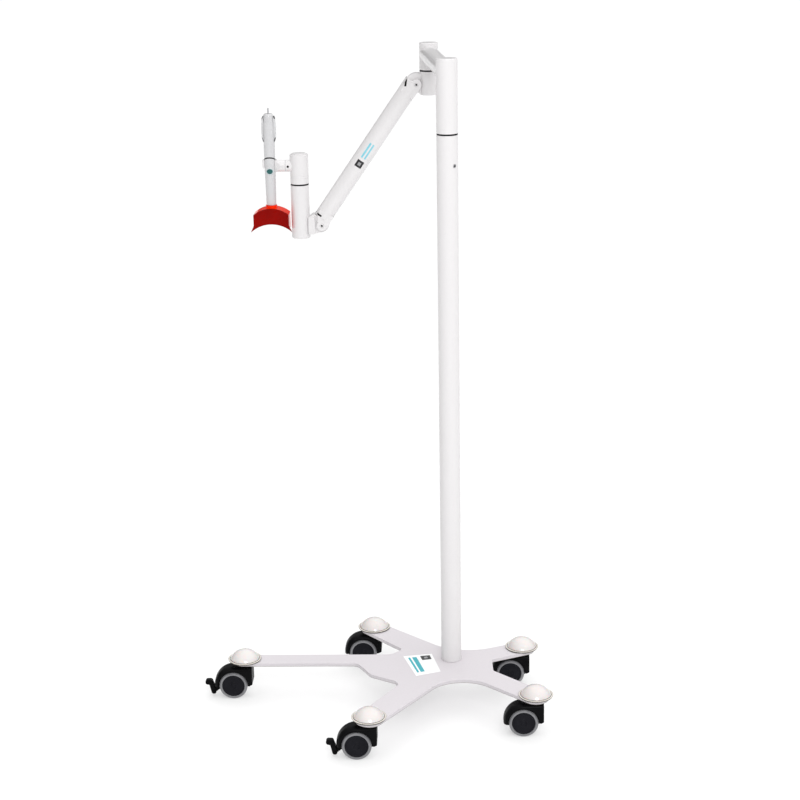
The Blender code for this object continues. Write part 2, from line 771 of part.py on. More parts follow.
def wrist_place():
    drop = math.radians(ARM_DROP)
    return (SHOULDER_X - ARM_LENGTH * math.cos(drop), SHOULDER_Z - ARM_LENGTH * math.sin(drop))


def wrist_post():
    """Lower post with the knuckle that the arm's lower fork straddles."""
    wx, wz = wrist_place()
    step = SPINDLE_FOOT - GAP
    well_foot = POST_FOOT + 16.2
    profile = [
        (0, well_foot), (13, well_foot), (13, step), (POST_WELL_R, step), (POST_WELL_R, POST_SPLIT),
        (TUBE_R, POST_SPLIT), (TUBE_R, POST_FOOT + 2.5), (TUBE_R - 2.5, POST_FOOT), (0, POST_FOOT),
    ]
    post = turned("wrist_post", profile, (POST_X, HUB_Y), "tube_paint", sides=ROUND)
    root = POST_X + TUBE_R - 3
    block = slab("knuckle_form", rounded([
        (root, wz + 19, 0), (wx - 27, wz + 19, 5), (wx - 17.6, wz + 26, 2), (wx - 15, wz + 12, 0),
        (wx - 14, wz - 18.6, 4), (root, wz - 18.6, 0)], 4), -17, 17)
    tongue = slab("wrist_tongue_form", (
        [(root, wz - 17), (root, wz + 18.5), (wx - 26.5, wz + 18.5), (wx - 17.4, wz + 25.5),
         (wx - 16, wz + 25), (wx - 3.4, wz + 16.8)]
        + arc((wx, wz), 14.5, 80, -75, 9) + [(wx - 13.6, wz - 18)]), -FORK_HALF + GAP, FORK_HALF - GAP)
    for form in (block, tongue):
        form.location.y = HUB_Y * MM
    join(post, block, tongue)
    cut(post, rod("wrist_bore", PIN_BORE_R, (wx, HUB_Y - 30, wz), (wx, HUB_Y + 30, wz), sides=14))
    for side in (-1, 1):
        near, far = HUB_Y + side * (FORK_HALF - GAP), HUB_Y + side * 30
        cut(post, rod(f"wrist_relief_{side}", LUG_R + 1.2, (wx, near, wz), (wx, far, wz), sides=24))
    slot_for_link(post, wx, wz, 1)
    return post


def post_sleeve():
    """Upper post that turns on the spindle, with the boss that takes the lamp's clip."""
    foot = POST_SPLIT + RING_THICK + 2 * GAP
    bore_r = SPINDLE_R + 0.4
    bore_top = SPINDLE_TOP + 0.4
    seat = POST_TOP - 2.0
    profile = [
        (0, bore_top), (0, seat), (16, seat), (16, POST_TOP), (TUBE_R, POST_TOP), (TUBE_R, foot),
        (bore_r, foot), (bore_r, bore_top),
    ]
    sleeve = turned("post_sleeve", profile, (POST_X, HUB_Y), "tube_paint", sides=ROUND)
    join(sleeve, rod("boss_form", BOSS_R, (POST_X - 14, HUB_Y, CLIP_Z), (BOSS_END, HUB_Y, CLIP_Z), sides=24))
    return cut(
        sleeve,
        rod("boss_bore", CLIP_SPIGOT_R + GAP, (BOSS_END - 5, HUB_Y, CLIP_Z), (POST_X - 11, HUB_Y, CLIP_Z)),
        rod("clip_screw_hole", 2.6, (CLIP_SCREW_X, HUB_Y - 20, CLIP_Z), (CLIP_SCREW_X, HUB_Y, CLIP_Z), sides=10),
    )


def post_spindle():
    """Plug in the lower post, drilled up from below, with the shaft that the sleeve turns on."""
    plug_top = POST_SPLIT - 2
    plug_r = POST_WELL_R - GAP
    profile = [
        (0, SPINDLE_TOP), (SPINDLE_R, SPINDLE_TOP), (SPINDLE_R, plug_top), (plug_r, plug_top),
        (plug_r, SPINDLE_FOOT), (9, SPINDLE_FOOT), (9, SPINDLE_FOOT + 50), (0, SPINDLE_FOOT + 50),
    ]
    return turned("post_spindle", profile, (POST_X, HUB_Y), "steel")


def post_cap():
    """Domed plug in the sleeve's top."""
    seat = POST_TOP - 1.7
    top = POST_TOP + 2.6
    profile = [(0, top), (14.6, top), (15.6, top - 1), (15.6, seat), (0, seat)]
    return turned("post_cap", profile, (POST_X, HUB_Y), "tube_paint", sides=24)


def make_post(wrist, turntable):
    wx, wz = wrist_place()
    hang(wrist_post(), wrist)
    hang(cross_pin("wrist_pin", wx, wz), wrist)
    hang(post_spindle(), wrist)
    ring_foot = POST_SPLIT + GAP
    ring = tube_profile(TUBE_R - RING_INSET, SPINDLE_R + 0.4, ring_foot + RING_THICK, ring_foot)
    hang(turned("post_ring", ring, (POST_X, HUB_Y), "black_rubber", sides=ROUND), wrist)
    hang(post_sleeve(), turntable)
    hang(post_cap(), turntable)
    front, back = HUB_Y - BOSS_R + 0.4, HUB_Y - CLIP_SPIGOT_R - 0.4
    screw = rod("clip_screw", 2.3, (CLIP_SCREW_X, front, CLIP_Z), (CLIP_SCREW_X, back, CLIP_Z), "black_plastic",
                sides=10)
    hang(screw, turntable)


# ---------------------------------------------------------------- lamp

def holder_clip():
    """Spigot, stub and the C-shaped jaw that the lamp snaps into; the mouth faces the front."""
    start = BOSS_END - GAP
    low, high = JAW_FOOT - 20, JAW_TOP + 20
    stub = rod("holder_clip", BOSS_R, (start, HUB_Y, CLIP_Z), (LAMP_X + 11, HUB_Y, CLIP_Z), "tube_paint", sides=24)
    spigot = rod("clip_spigot", CLIP_SPIGOT_R, (start - 3, HUB_Y, CLIP_Z), (POST_X - 12.5, HUB_Y, CLIP_Z))
    jaw = turned("jaw_form", [(0, JAW_TOP), (JAW_R, JAW_TOP), (JAW_R, JAW_FOOT), (0, JAW_FOOT)], (LAMP_X, HUB_Y),
                 sides=24)
    join(stub, spigot, jaw)
    mouth = slab("mouth_form", [(0, 0), (-40, -19), (-40, -60), (40, -60), (40, -23)], low, high, upright=False)
    mouth.location += Vector((LAMP_X, HUB_Y, 0)) * MM
    bore = rod("jaw_bore", LAMP_R + GAP, (LAMP_X, HUB_Y, low), (LAMP_X, HUB_Y, high), sides=24)
    return cut(stub, bore, mouth)


def lamp_form(name, paint=None):
    """The lamp's round outer shape in one piece, before the seam divides it."""
    profile = [
        (0, LAMP_TOP), (8.5, LAMP_TOP), (10.6, LAMP_TOP - 3), (12.0, LAMP_TOP - 20), (LAMP_R, 1140),
        (LAMP_R - 0.2, SEAM_Z), (LAMP_R - 0.2, 1074), (11.4, 1050), (10.8, 1003.5), (NOSE_R, 1002.5),
        (NOSE_R, LAMP_NOSE), (0, LAMP_NOSE),
    ]
    return turned(name, profile, (LAMP_X, HUB_Y), paint, sides=24)


def seam_side(name, low, high):
    """A tilted block that keeps the stretch of the lamp between two heights at the seam."""
    block = box(name, (-40, -60, low), (40, 60, high))
    half = (low + high) / 2 * MM
    tilt = Matrix.Rotation(math.radians(-SEAM_TILT), 4, "X")
    block.matrix_world = (
        Matrix.Translation(Vector((LAMP_X, HUB_Y, SEAM_Z)) * MM) @ tilt @ Matrix.Translation((0, 0, half))
    )
    return block


def lamp_pieces(tilt):
    half = SEAM_THICK / 2
    tail = keep_inside(lamp_form("lamp_tail", "lamp_shell"), seam_side("above_seam", half + 0.2, 200))
    cut(tail, rod("pin_hole", 1.9, (LAMP_X, HUB_Y, LAMP_TOP - 5), (LAMP_X, HUB_Y, LAMP_TOP + 5), sides=10))
    hang(tail, tilt)
    seal = turned("seam_ring", [(0, 1130), (LAMP_R - 0.5, 1130), (LAMP_R - 0.5, 1070), (0, 1070)],
                  (LAMP_X, HUB_Y), "black_rubber", sides=24)
    hang(keep_inside(seal, seam_side("in_seam", -half, half)), tilt)
    body = keep_inside(lamp_form("lamp_body", "lamp_shell"), seam_side("below_seam", -200, -half - 0.2))
    cut(
        body,
        button_form("button_pocket", 0.35, -20, -9.5),
        rod("lens_pocket", LENS_R + GAP, (LAMP_X, HUB_Y, LAMP_NOSE - 5), (LAMP_X, HUB_Y, LAMP_NOSE + 4), sides=SMALL_ROUND),
    )
    hang(body, tilt)
    hang(rod("tail_pin", 1.6, (LAMP_X, HUB_Y, LAMP_TOP - 4.6), (LAMP_X, HUB_Y, 1212), "steel", sides=10), tilt)
    lens_top = LAMP_NOSE + 3.6
    lens = [(0, lens_top), (LENS_R, lens_top), (LENS_R, LAMP_NOSE), (5, LAMP_NOSE - 1.4), (0, LAMP_NOSE - 2.0)]
    hang(turned("lamp_lens", lens, (LAMP_X, HUB_Y), "clear_lens"), tilt)
    for side, tag in ((-1, "left"), (1, "right")):
        hang(side_grip(f"side_grip_{tag}", side), tilt)


def button_form(name, grow, front, back, paint=None):
    """An oval button or its pocket, between two depths from the lamp's axis."""
    outline = [((6.2 + grow) * math.cos(turn), (4.9 + grow) * math.sin(turn))
               for turn in (2 * math.pi * step / 20 for step in range(20))]
    made = slab(name, outline, front, back, paint)
    made.location = Vector((LAMP_X, HUB_Y, BUTTON_Z)) * MM
    return made


def side_grip(name, side):
    """A long shallow pad on the tail's flank."""
    outline = [(9.0, 1141), (12.6, 1140), (15.2, 1150), (15.8, 1168), (14.8, 1188), (12.2, 1196), (9.0, 1195)]
    pad = slab(name, [(side * x, z) for x, z in outline], -6.5, 6.5, "lamp_shell")
    pad.location = Vector((LAMP_X, HUB_Y, 0)) * MM
    return cut(pad, rod(f"{name}_bed", LAMP_R + GAP, (LAMP_X, HUB_Y, 1120), (LAMP_X, HUB_Y, 1215), sides=24))


def guard_outline(half, drop, flare):
    """Side view of the guard: arched top and arched foot; drop shrinks it, flare spreads the foot's tips."""
    radius = (GUARD_HALF ** 2 + GUARD_TOP_RISE ** 2) / (2 * GUARD_TOP_RISE)
    centre = (0, GUARD_APEX - radius)
    reach = math.degrees(math.asin(half / radius))
    top = arc(centre, radius - drop, 90 - reach, 90 + reach, 10)
    foot_radius = (GUARD_TIP ** 2 + GUARD_FOOT_RISE ** 2) / (2 * GUARD_FOOT_RISE)
    foot_centre = (0, GUARD_ARCH_FOOT - foot_radius)
    tip = half + flare
    spread = math.degrees(math.asin(tip / foot_radius))
    foot = arc(foot_centre, foot_radius, 90 + spread, 90 - spread, 10)
    sides = [(-half, GUARD_SIDE_FOOT)] if flare else []
    closing = [(half, GUARD_SIDE_FOOT)] if flare else []
    return top + sides + foot + closing


def light_guard():
    """Arched red hood, open below, pushed onto the lamp's nose; its front edge flares to two tips."""
    hood = slab("light_guard", guard_outline(GUARD_HALF, 0, 0), -GUARD_DEPTH, GUARD_DEPTH, "red_guard")
    front = slab("guard_front", guard_outline(GUARD_HALF, 0, GUARD_TIP - GUARD_HALF),
                 -GUARD_DEPTH - 0.2, GUARD_WALL - GUARD_DEPTH - 0.01)
    inner = guard_outline(GUARD_HALF - GUARD_WALL, GUARD_WALL, 0)
    lowered = [(x, z if z > GUARD_ARCH_FOOT + 3 else z - 12) for x, z in inner]
    hollow = slab("guard_hollow", lowered, GUARD_WALL - GUARD_DEPTH, GUARD_DEPTH - GUARD_WALL)
    for form in (hood, front, hollow):
        form.location = Vector((LAMP_X, HUB_Y, 0)) * MM
    cut(hood, hollow)
    join(hood, front, rod("collar", NOSE_R + 3, (LAMP_X, HUB_Y, 991), (LAMP_X, HUB_Y, 1002.1), sides=24))
    return cut(hood, rod("collar_bore", NOSE_R + GAP, (LAMP_X, HUB_Y, 975), (LAMP_X, HUB_Y, 1010), sides=24))


def make_lamp(tilt, press):
    hang(holder_clip(), tilt)
    lamp_pieces(tilt)
    hang(button_form("power_button", 0, -13.7, -10.6, "teal_button"), press)
    hang(light_guard(), tilt)


# ---------------------------------------------------------------- assembly

def centre_on_footprint(stand):
    """Moves the whole stand so that the middle of its bounding box, at the floor, is the origin."""
    bpy.context.view_layer.update()
    graph = bpy.context.evaluated_depsgraph_get()
    corners = []
    for piece in PARTS.objects:
        if piece.type == "MESH":
            shaped = piece.evaluated_get(graph)
            corners += [shaped.matrix_world @ vertex.co for vertex in shaped.data.vertices]
    low = [min(corner[axis] for corner in corners) for axis in range(3)]
    high = [max(corner[axis] for corner in corners) for axis in range(3)]
    stand.location = (-(low[0] + high[0]) / 2, -(low[1] + high[1]) / 2, -low[2])


clear_scene()
PARTS = new_collection("whitening_lamp_stand")
CUTTERS = new_collection("cutters", hidden=True)
MATERIALS = make_materials()

stand_root = empty("stand", (0, 0, 0))
make_base(stand_root)
make_pole(stand_root)
pole_swivel = empty("pole_swivel", (0, 0, POLE_TOP), stand_root)
make_boom(pole_swivel)
elbow_swivel = empty("elbow_swivel", (HUB_X, HUB_Y, HUB_FOOT), pole_swivel)
shoulder_hinge = empty("shoulder_hinge", (SHOULDER_X, HUB_Y, SHOULDER_Z), elbow_swivel)
link_hinge = empty("link_hinge", (SHOULDER_X, HUB_Y, SHOULDER_Z + LINK_RISE), elbow_swivel)
make_arm(elbow_swivel, shoulder_hinge, link_hinge)
wrist_at = wrist_place()
wrist_hinge = empty("wrist_hinge", (wrist_at[0], HUB_Y, wrist_at[1]), shoulder_hinge)
post_swivel = empty("post_swivel", (POST_X, HUB_Y, POST_SPLIT), wrist_hinge)
make_post(wrist_hinge, post_swivel)
clip_tilt = empty("clip_tilt", (POST_X - 29, HUB_Y, CLIP_Z), post_swivel)
button_slide = empty("button_slide", (LAMP_X, HUB_Y - 13, BUTTON_Z), clip_tilt)
make_lamp(clip_tilt, button_slide)
centre_on_footprint(stand_root)
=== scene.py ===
"""Looks of the mobile lamp stand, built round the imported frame.

Lengths are in millimetres in the stand's own frame: the pole's axis is X = Y = 0 and the
floor is Z = 0. TO_WORLD turns them into the row frame's metres.
"""

import math

import bmesh
import bpy
from mathutils import Euler, Matrix, Vector

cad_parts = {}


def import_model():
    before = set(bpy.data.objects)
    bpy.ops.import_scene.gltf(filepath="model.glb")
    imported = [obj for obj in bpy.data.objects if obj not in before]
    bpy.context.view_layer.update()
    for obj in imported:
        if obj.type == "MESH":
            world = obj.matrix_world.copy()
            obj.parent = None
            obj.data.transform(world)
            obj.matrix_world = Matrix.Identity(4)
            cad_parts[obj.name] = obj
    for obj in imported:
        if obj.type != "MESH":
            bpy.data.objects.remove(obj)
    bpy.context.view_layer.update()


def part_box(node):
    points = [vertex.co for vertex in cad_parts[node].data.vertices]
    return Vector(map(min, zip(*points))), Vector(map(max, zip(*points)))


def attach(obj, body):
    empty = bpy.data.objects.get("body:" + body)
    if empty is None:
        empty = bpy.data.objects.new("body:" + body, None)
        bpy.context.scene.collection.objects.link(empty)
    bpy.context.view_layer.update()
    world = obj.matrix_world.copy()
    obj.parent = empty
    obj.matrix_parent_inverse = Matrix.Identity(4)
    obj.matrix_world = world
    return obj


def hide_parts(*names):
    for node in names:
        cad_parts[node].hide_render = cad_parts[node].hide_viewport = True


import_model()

MM = 0.001
GAP = 0.3
FINE = 96  # sides of the large round pieces
SMALL = 40
WELD = 2e-6  # metres

tube_low, tube_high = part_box("lower_tube")
POLE_TOP = 1200.0
ORIGIN = Vector(((tube_low.x + tube_high.x) / 2, (tube_low.y + tube_high.y) / 2, tube_high.z - POLE_TOP * MM))
TO_WORLD = Matrix.Translation(ORIGIN) @ Matrix.Scale(MM, 4)

# Base and casters
PLATE_TOP = 84.0
PLATE_THICK = 8.0
BOLT_HOLE_R = 5.3
LEG_ENDS = {  # caster name: (x, y, direction in degrees, half the leg's width)
    "long": (-442.0, 0.0, 180.0, 21.5),
    "front_left": (-165.0, -273.0, 240.0, 27.0),
    "front_right": (171.0, -177.0, 315.0, 26.5),
    "rear_right": (152.0, 56.0, 20.4, 25.7),
    "rear_left": (-171.0, 163.0, 136.0, 26.0),
}
BRAKED = ("long", "front_left")
WHEEL_R = 30.0
WHEEL_OUT = 20.0
TRAIL = 25.0
WHEEL_SPOT = (-TRAIL, WHEEL_R)  # (x, z) from the caster's swivel axis
PEDAL_SPOT = (-TRAIL - 43.5, WHEEL_R - 19.0)
HOOD_R = 41.0
HOOD_CLEAR_R = 32.5
HOOD_TAIL = 184.0
HOOD_TOP = 73.0
HOOD_FRONT = 16.0
STEM_R = 5.3
STEM_TOP, STEM_FOOT = 97.0, 54.0
DOME_R = 35.3

# Pole, boom and elbow
POLE_R = 21.2
POLE_BORE_R = 19.2
RING_THICK = 2.7
RING_INSET = 0.4
SPIGOT_TOP, SPIGOT_FOOT = 1310.0, 1120.0
BOOM_TOP = 1347.7
BOOM_Z = 1321.0
BOOM_TUBE_R = 19.5
SHAFT_R = 15.0
ELBOW_R = 11.0
TUBE_R = 20.0
HUB_X, HUB_Y = -38.0, 350.0
HUB_TOP = 1346.0
HUB_FOOT = 1289.1
SET_SCREW_Z = 1141.0
SET_SCREW_ROUND = -48.0

# Spring arm
SHOULDER_X, SHOULDER_Z = -64.5, 1259.0
ARM_LENGTH = 367.3
ARM_DROP = 55.2
ARM_R = 19.3
ARM_OFFSET = 8.0
PIN_R = 4.0
PIN_BORE_R = 4.3
LINK_R = 2.4
LUG_R = 11.5
LUG_HALF = 17.6
FORK_HALF = 10.6
LINK_RISE = 12.0
BRIDGE_FOOT = 24.7  # underside of the tube's top over each fork slot
WRIST_X = SHOULDER_X - ARM_LENGTH * math.cos(math.radians(ARM_DROP))
WRIST_Z = SHOULDER_Z - ARM_LENGTH * math.sin(math.radians(ARM_DROP))

# Post and lamp
POST_X = -321.0
POST_FOOT = 928.8
POST_SPLIT = 1045.4
POST_TOP = 1112.0
POST_BORE_R = 10.4
BOSS_R = 13.0
BOSS_END = POST_X - 29
BOSS_SCREW_X = POST_X - 23.5
LAMP_X = -384.0
CLIP_Z = 1087.0
LAMP_R = 12.2
LAMP_TOP = 1200.0
LAMP_NOSE = 986.0
SEAM_Z = 1100.5
SEAM_TILT = 26.0
SEAM_HALF = 1.1
BUTTON_Z = 1076.7
GUARD_HALF = 38.6
GUARD_TIP = 45.3
GUARD_APEX = 997.3
GUARD_FOOT = 962.6
GUARD_SIDE_FOOT = 959.5
GUARD_TOP_RISE = 13.8
GUARD_FOOT_RISE = 17.6
GUARD_DEPTH = 22.0
GUARD_WALL = 2.2


# ---- outlines

def rounded(corners, steps=6):
    """Points (x, y) with each corner (x, y, radius) turned into an arc."""
    outline = []
    count = len(corners)
    for index, (x, y, radius) in enumerate(corners):
        if radius <= 0:
            outline.append((x, y))
            continue
        here = Vector((x, y))
        back = (Vector(corners[index - 1][:2]) - here).normalized()
        ahead = (Vector(corners[(index + 1) % count][:2]) - here).normalized()
        half = math.acos(max(-1.0, min(1.0, back.dot(ahead)))) / 2
        reach = radius / math.tan(half)
        middle = here + (back + ahead).normalized() * (radius / math.sin(half))
        first = here + back * reach - middle
        last = here + ahead * reach - middle
        sweep = math.atan2(first.x * last.y - first.y * last.x, first.dot(last))
        for step in range(steps + 1):
            turn = sweep * step / steps
            cosine, sine = math.cos(turn), math.sin(turn)
            outline.append((
                middle.x + first.x * cosine - first.y * sine,
                middle.y + first.x * sine + first.y * cosine,
            ))
    return outline


def arc(centre, radius, start, end, steps):
    """Points round a centre, from a start to an end in degrees."""
    angles = (math.radians(start + (end - start) * step / steps) for step in range(steps + 1))
    return [(centre[0] + radius * math.cos(angle), centre[1] + radius * math.sin(angle)) for angle in angles]


def drawn_in(outline, amount):
    """The outline moved inwards by an amount, corner by corner."""
    count = len(outline)
    area = sum(outline[i - 1][0] * outline[i][1] - outline[i][0] * outline[i - 1][1] for i in range(count))
    side = 1 if area > 0 else -1
    moved = []
    for index, (x, y) in enumerate(outline):
        back = Vector((x, y)) - Vector(outline[index - 1])
        ahead = Vector(outline[(index + 1) % count]) - Vector((x, y))
        if back.length < 1e-6 or ahead.length < 1e-6:
            back = ahead = back if back.length > ahead.length else ahead
        first = Vector((-back.y, back.x)).normalized() * side
        second = Vector((-ahead.y, ahead.x)).normalized() * side
        across = first + second
        scale = 2 / max(across.length_squared, 0.8)
        moved.append((x + across.x * scale * amount, y + across.y * scale * amount))
    return moved


# ---- mesh building

def placed(name, data):
    """A new object in the scene."""
    made = bpy.data.objects.new(name, data)
    bpy.context.scene.collection.objects.link(made)
    return made


def to_object(name, shaped, paints, local=None):
    """Turns a bmesh in millimetres into an object in the row frame; paints are names split by spaces."""
    bmesh.ops.remove_doubles(shaped, verts=shaped.verts, dist=0.001)
    bmesh.ops.recalc_face_normals(shaped, faces=shaped.faces)
    bmesh.ops.transform(shaped, matrix=TO_WORLD @ (local or Matrix.Identity(4)), verts=shaped.verts)
    mesh = bpy.data.meshes.new(name)
    shaped.to_mesh(mesh)
    shaped.free()
    for paint in paints.split():
        mesh.materials.append(PAINT[paint])
    return placed(name, mesh)


def lathe(name, profile, paints, local=None, sides=FINE, bands=None):
    """A turned piece about local Z; bands gives each stretch of the profile its paint's number."""
    shaped = bmesh.new()
    rings = []
    turns = [2 * math.pi * side / sides for side in range(sides)]
    for radius, height in profile:
        around = turns if radius > 1e-6 else [0]
        rings.append([shaped.verts.new((radius * math.cos(a), radius * math.sin(a), height)) for a in around])
    pairs = list(zip(rings, rings[1:]))
    if profile[0][0] > 1e-6:
        pairs.append((rings[-1], rings[0]))
    for number, (upper, lower) in enumerate(pairs):
        for side in range(sides):
            after = (side + 1) % sides
            if len(upper) == 1:
                corners = (upper[0], lower[side], lower[after])
            elif len(lower) == 1:
                corners = (upper[side], lower[0], upper[after])
            else:
                corners = (upper[side], lower[side], lower[after], upper[after])
            face = shaped.faces.new(corners)
            face.material_index = bands[number] if bands else 0
    return to_object(name, shaped, paints, local)


def at(x, y, z=0):
    """Moves a piece's own zero to a place on the stand."""
    return Matrix.Translation((x, y, z))


def rod(name, radius, start, end, paints, edge=0.4, sides=SMALL):
    """A round bar with softened ends between two points."""
    start, end = Vector(start), Vector(end)
    along = end - start
    local = Matrix.Translation(start) @ along.to_track_quat("Z", "Y").to_matrix().to_4x4()
    length = along.length
    profile = rounded([(0, length, 0), (radius, length, edge), (radius, 0, edge), (0, 0, 0)], 3)
    return lathe(name, profile, paints, local, sides)


def bore(radius, start, end, sides=SMALL):
    """Cutter for a round hole."""
    return rod("bore", radius, start, end, "", edge=0, sides=sides)


def skin(shaped, rings, around=False):
    """Faces from each ring of corners to the next, then the two ends; around joins the ends instead."""
    for lower, upper in zip(rings, rings[1:] + (rings[:1] if around else [])):
        for index in range(len(lower)):
            after = (index + 1) % len(lower)
            shaped.faces.new((lower[index], lower[after], upper[after], upper[index]))
    if not around:
        shaped.faces.new(rings[0])
        shaped.faces.new(rings[-1][::-1])


def slab(name, outline, low, high, edge, paints, local=None, upright=True, steps=3):
    """An outline given thickness with rounded edges: along Y when upright, else along Z."""
    shaped = bmesh.new()
    turns = [math.pi / 2 * step / steps for step in range(steps + 1)] if edge else [math.pi / 2]
    levels = [(edge * (1 - math.sin(turn)), low + edge * (1 - math.cos(turn))) for turn in turns]
    levels += [(inset, low + high - depth) for inset, depth in reversed(levels)]
    rings = []
    for inset, depth in levels:
        ring = drawn_in(outline, inset) if inset > 1e-6 else outline
        rings.append([shaped.verts.new((x, depth, y) if upright else (x, y, depth)) for x, y in ring])
    skin(shaped, rings)
    return to_object(name, shaped, paints, local)


def box(low, high, local=None):
    """Cutter for a slot."""
    outline = [(low[0], low[2]), (high[0], low[2]), (high[0], high[2]), (low[0], high[2])]
    return slab("box", outline, low[1], high[1], 0, "", local)


def shape_with(piece, operation, tools):
    """Applies Booleans to a piece and drops the tools."""
    for tool in tools:
        change = piece.modifiers.new("shape", "BOOLEAN")
        change.operation = operation
        change.object = tool
        change.material_mode = "TRANSFER"
    bpy.context.view_layer.update()
    graph = bpy.context.evaluated_depsgraph_get()
    mesh = bpy.data.meshes.new_from_object(piece.evaluated_get(graph), depsgraph=graph)
    piece.modifiers.clear()
    piece.data = mesh
    for tool in tools:
        bpy.data.objects.remove(tool, do_unlink=True)
    return piece


def cut(piece, *tools):
    return shape_with(piece, "DIFFERENCE", tools)


def join(piece, *tools):
    return shape_with(piece, "UNION", tools)


def keep_inside(piece, *tools):
    return shape_with(piece, "INTERSECT", tools)


def show(piece, body, slot, *nodes, sharp=38, soften=0.0):
    """Shades a piece smooth, hangs it on its body and hides the CAD nodes it stands for."""
    shaped = bmesh.new()
    shaped.from_mesh(piece.data)
    bmesh.ops.remove_doubles(shaped, verts=shaped.verts, dist=WELD)
    bmesh.ops.dissolve_degenerate(shaped, edges=shaped.edges, dist=WELD)
    slivers = [edge for edge in shaped.edges if edge.is_boundary]
    if slivers:  # hairline gaps that a cut has left
        bmesh.ops.holes_fill(shaped, edges=slivers, sides=6)
    shaped.to_mesh(piece.data)
    shaped.free()
    piece.data.shade_smooth()
    piece.data.set_sharp_from_angle(angle=math.radians(sharp))
    if soften:
        bevel = piece.modifiers.new("soften", "BEVEL")
        bevel.width = soften * MM
        bevel.segments = 2
        bevel.limit_method = "ANGLE"
        bevel.angle_limit = math.radians(sharp)
        bevel.harden_normals = True
    weighted = piece.modifiers.new("weighted", "WEIGHTED_NORMAL")
    weighted.keep_sharp = True
    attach(piece, body)
    if nodes:
        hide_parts(*nodes)


# ---- materials

def shader_of(name, colour, roughness, **constants):
    """A new Principled material; constants are set on the shader's own sockets."""
    material = bpy.data.materials.new(name)
    material.use_nodes = True
    tree = material.node_tree
    shader = tree.nodes["Principled BSDF"]
    shader.inputs["Base Color"].default_value = (*colour, 1.0)
    shader.inputs["Roughness"].default_value = roughness
    for socket, value in constants.items():
        shader.inputs[socket.replace("_", " ")].default_value = value
    return material, tree, shader


def add(tree, kind, inputs=None, **settings):
    """A new shader node with its own settings and its inputs' values."""
    made = tree.nodes.new("ShaderNode" + kind)
    for name, value in settings.items():
        setattr(made, name, value)
    for socket, value in (inputs or {}).items():
        made.inputs[socket].default_value = value
    return made


def noise(tree, scale, detail=3.0, stretch=(1, 1, 1)):
    """Noise in object space; scale is in features per metre."""
    place = add(tree, "TexCoord")
    spread = add(tree, "Mapping", {"Scale": stretch})
    texture = add(tree, "TexNoise", {"Scale": scale, "Detail": detail})
    tree.links.new(place.outputs["Object"], spread.inputs["Vector"])
    tree.links.new(spread.outputs["Vector"], texture.inputs["Vector"])
    return texture.outputs["Fac"]


def spread_between(tree, value, low, high):
    """Maps the middle of a noise's range onto low to high."""
    ranged = add(tree, "MapRange", {"From Min": 0.3, "From Max": 0.7, "To Min": low, "To Max": high})
    tree.links.new(value, ranged.inputs["Value"])
    return ranged.outputs["Result"]


def tint(tree, shader, first, second, value):
    """Blends the base colour from first to second along a value."""
    mixed = add(tree, "Mix", {"A": (*first, 1.0), "B": (*second, 1.0)}, data_type="RGBA")
    tree.links.new(spread_between(tree, value, 0.0, 1.0), mixed.inputs["Factor"])
    tree.links.new(mixed.outputs["Result"], shader.inputs["Base Color"])


def roughen(tree, shader, rough, value):
    tree.links.new(spread_between(tree, value, *rough), shader.inputs["Roughness"])


def emboss(tree, shader, value, depth_mm, strength=1.0):
    """Bump of about a depth in millimetres."""
    bump = add(tree, "Bump", {"Distance": depth_mm * MM, "Strength": strength})
    tree.links.new(value, bump.inputs["Height"])
    tree.links.new(bump.outputs["Normal"], shader.inputs["Normal"])


def finish(name, colour, second, rough, cloud, grain, depth_mm, **constants):
    """A plain coated or moulded finish: clouded colour, uneven gloss and a fine grain."""
    material, tree, shader = shader_of(name, colour, rough[0], **constants)
    tint(tree, shader, colour, second, noise(tree, cloud, 4.0))
    roughen(tree, shader, rough, noise(tree, cloud * 6))
    emboss(tree, shader, noise(tree, grain, 2.0), depth_mm)
    return material


def wheel_finish(name, colour, second, rough, ring_count, **constants):
    """Moulded wheel plastic with faint rings about the wheel's middle."""
    material, tree, shader = shader_of(name, colour, rough[0], **constants)
    tint(tree, shader, colour, second, noise(tree, 60, 4.0))
    roughen(tree, shader, rough, noise(tree, 300))
    value = add(tree, "TexCoord").outputs["Generated"]
    for step, output in (
        (add(tree, "VectorMath", {1: (0.5, 0.5, 0.5)}, operation="SUBTRACT"), "Vector"),
        (add(tree, "VectorMath", {1: (1.0, 0.0, 1.0)}, operation="MULTIPLY"), "Vector"),
        (add(tree, "VectorMath", operation="LENGTH"), "Value"),
        (add(tree, "Math", {1: ring_count * 4 * math.pi}, operation="MULTIPLY"), "Value"),
        (add(tree, "Math", operation="SINE"), "Value"),
    ):
        tree.links.new(value, step.inputs[0])
        value = step.outputs[output]
    emboss(tree, shader, value, 0.03, 0.4)
    return material


def brushed(name, colour, rough):
    """Turned steel, its fine marks drawn out along one direction."""
    material, tree, shader = shader_of(name, colour, rough[0], Metallic=1.0)
    marks = noise(tree, 1500, 2.0, (1, 1, 0.04))
    tint(tree, shader, colour, tuple(c * 0.82 for c in colour), marks)
    roughen(tree, shader, rough, marks)
    emboss(tree, shader, marks, 0.004)
    return material


def guard_finish(name, colour, second):
    """Faintly see-through acrylic, deeper in colour where it is cloudier."""
    material, tree, shader = shader_of(name, colour, 0.06, Transmission_Weight=0.05, IOR=1.45, Specular_IOR_Level=0.05)
    tint(tree, shader, colour, second, noise(tree, 25))
    roughen(tree, shader, (0.04, 0.1), noise(tree, 220))
    emboss(tree, shader, noise(tree, 90, 2.0), 0.03)
    return material


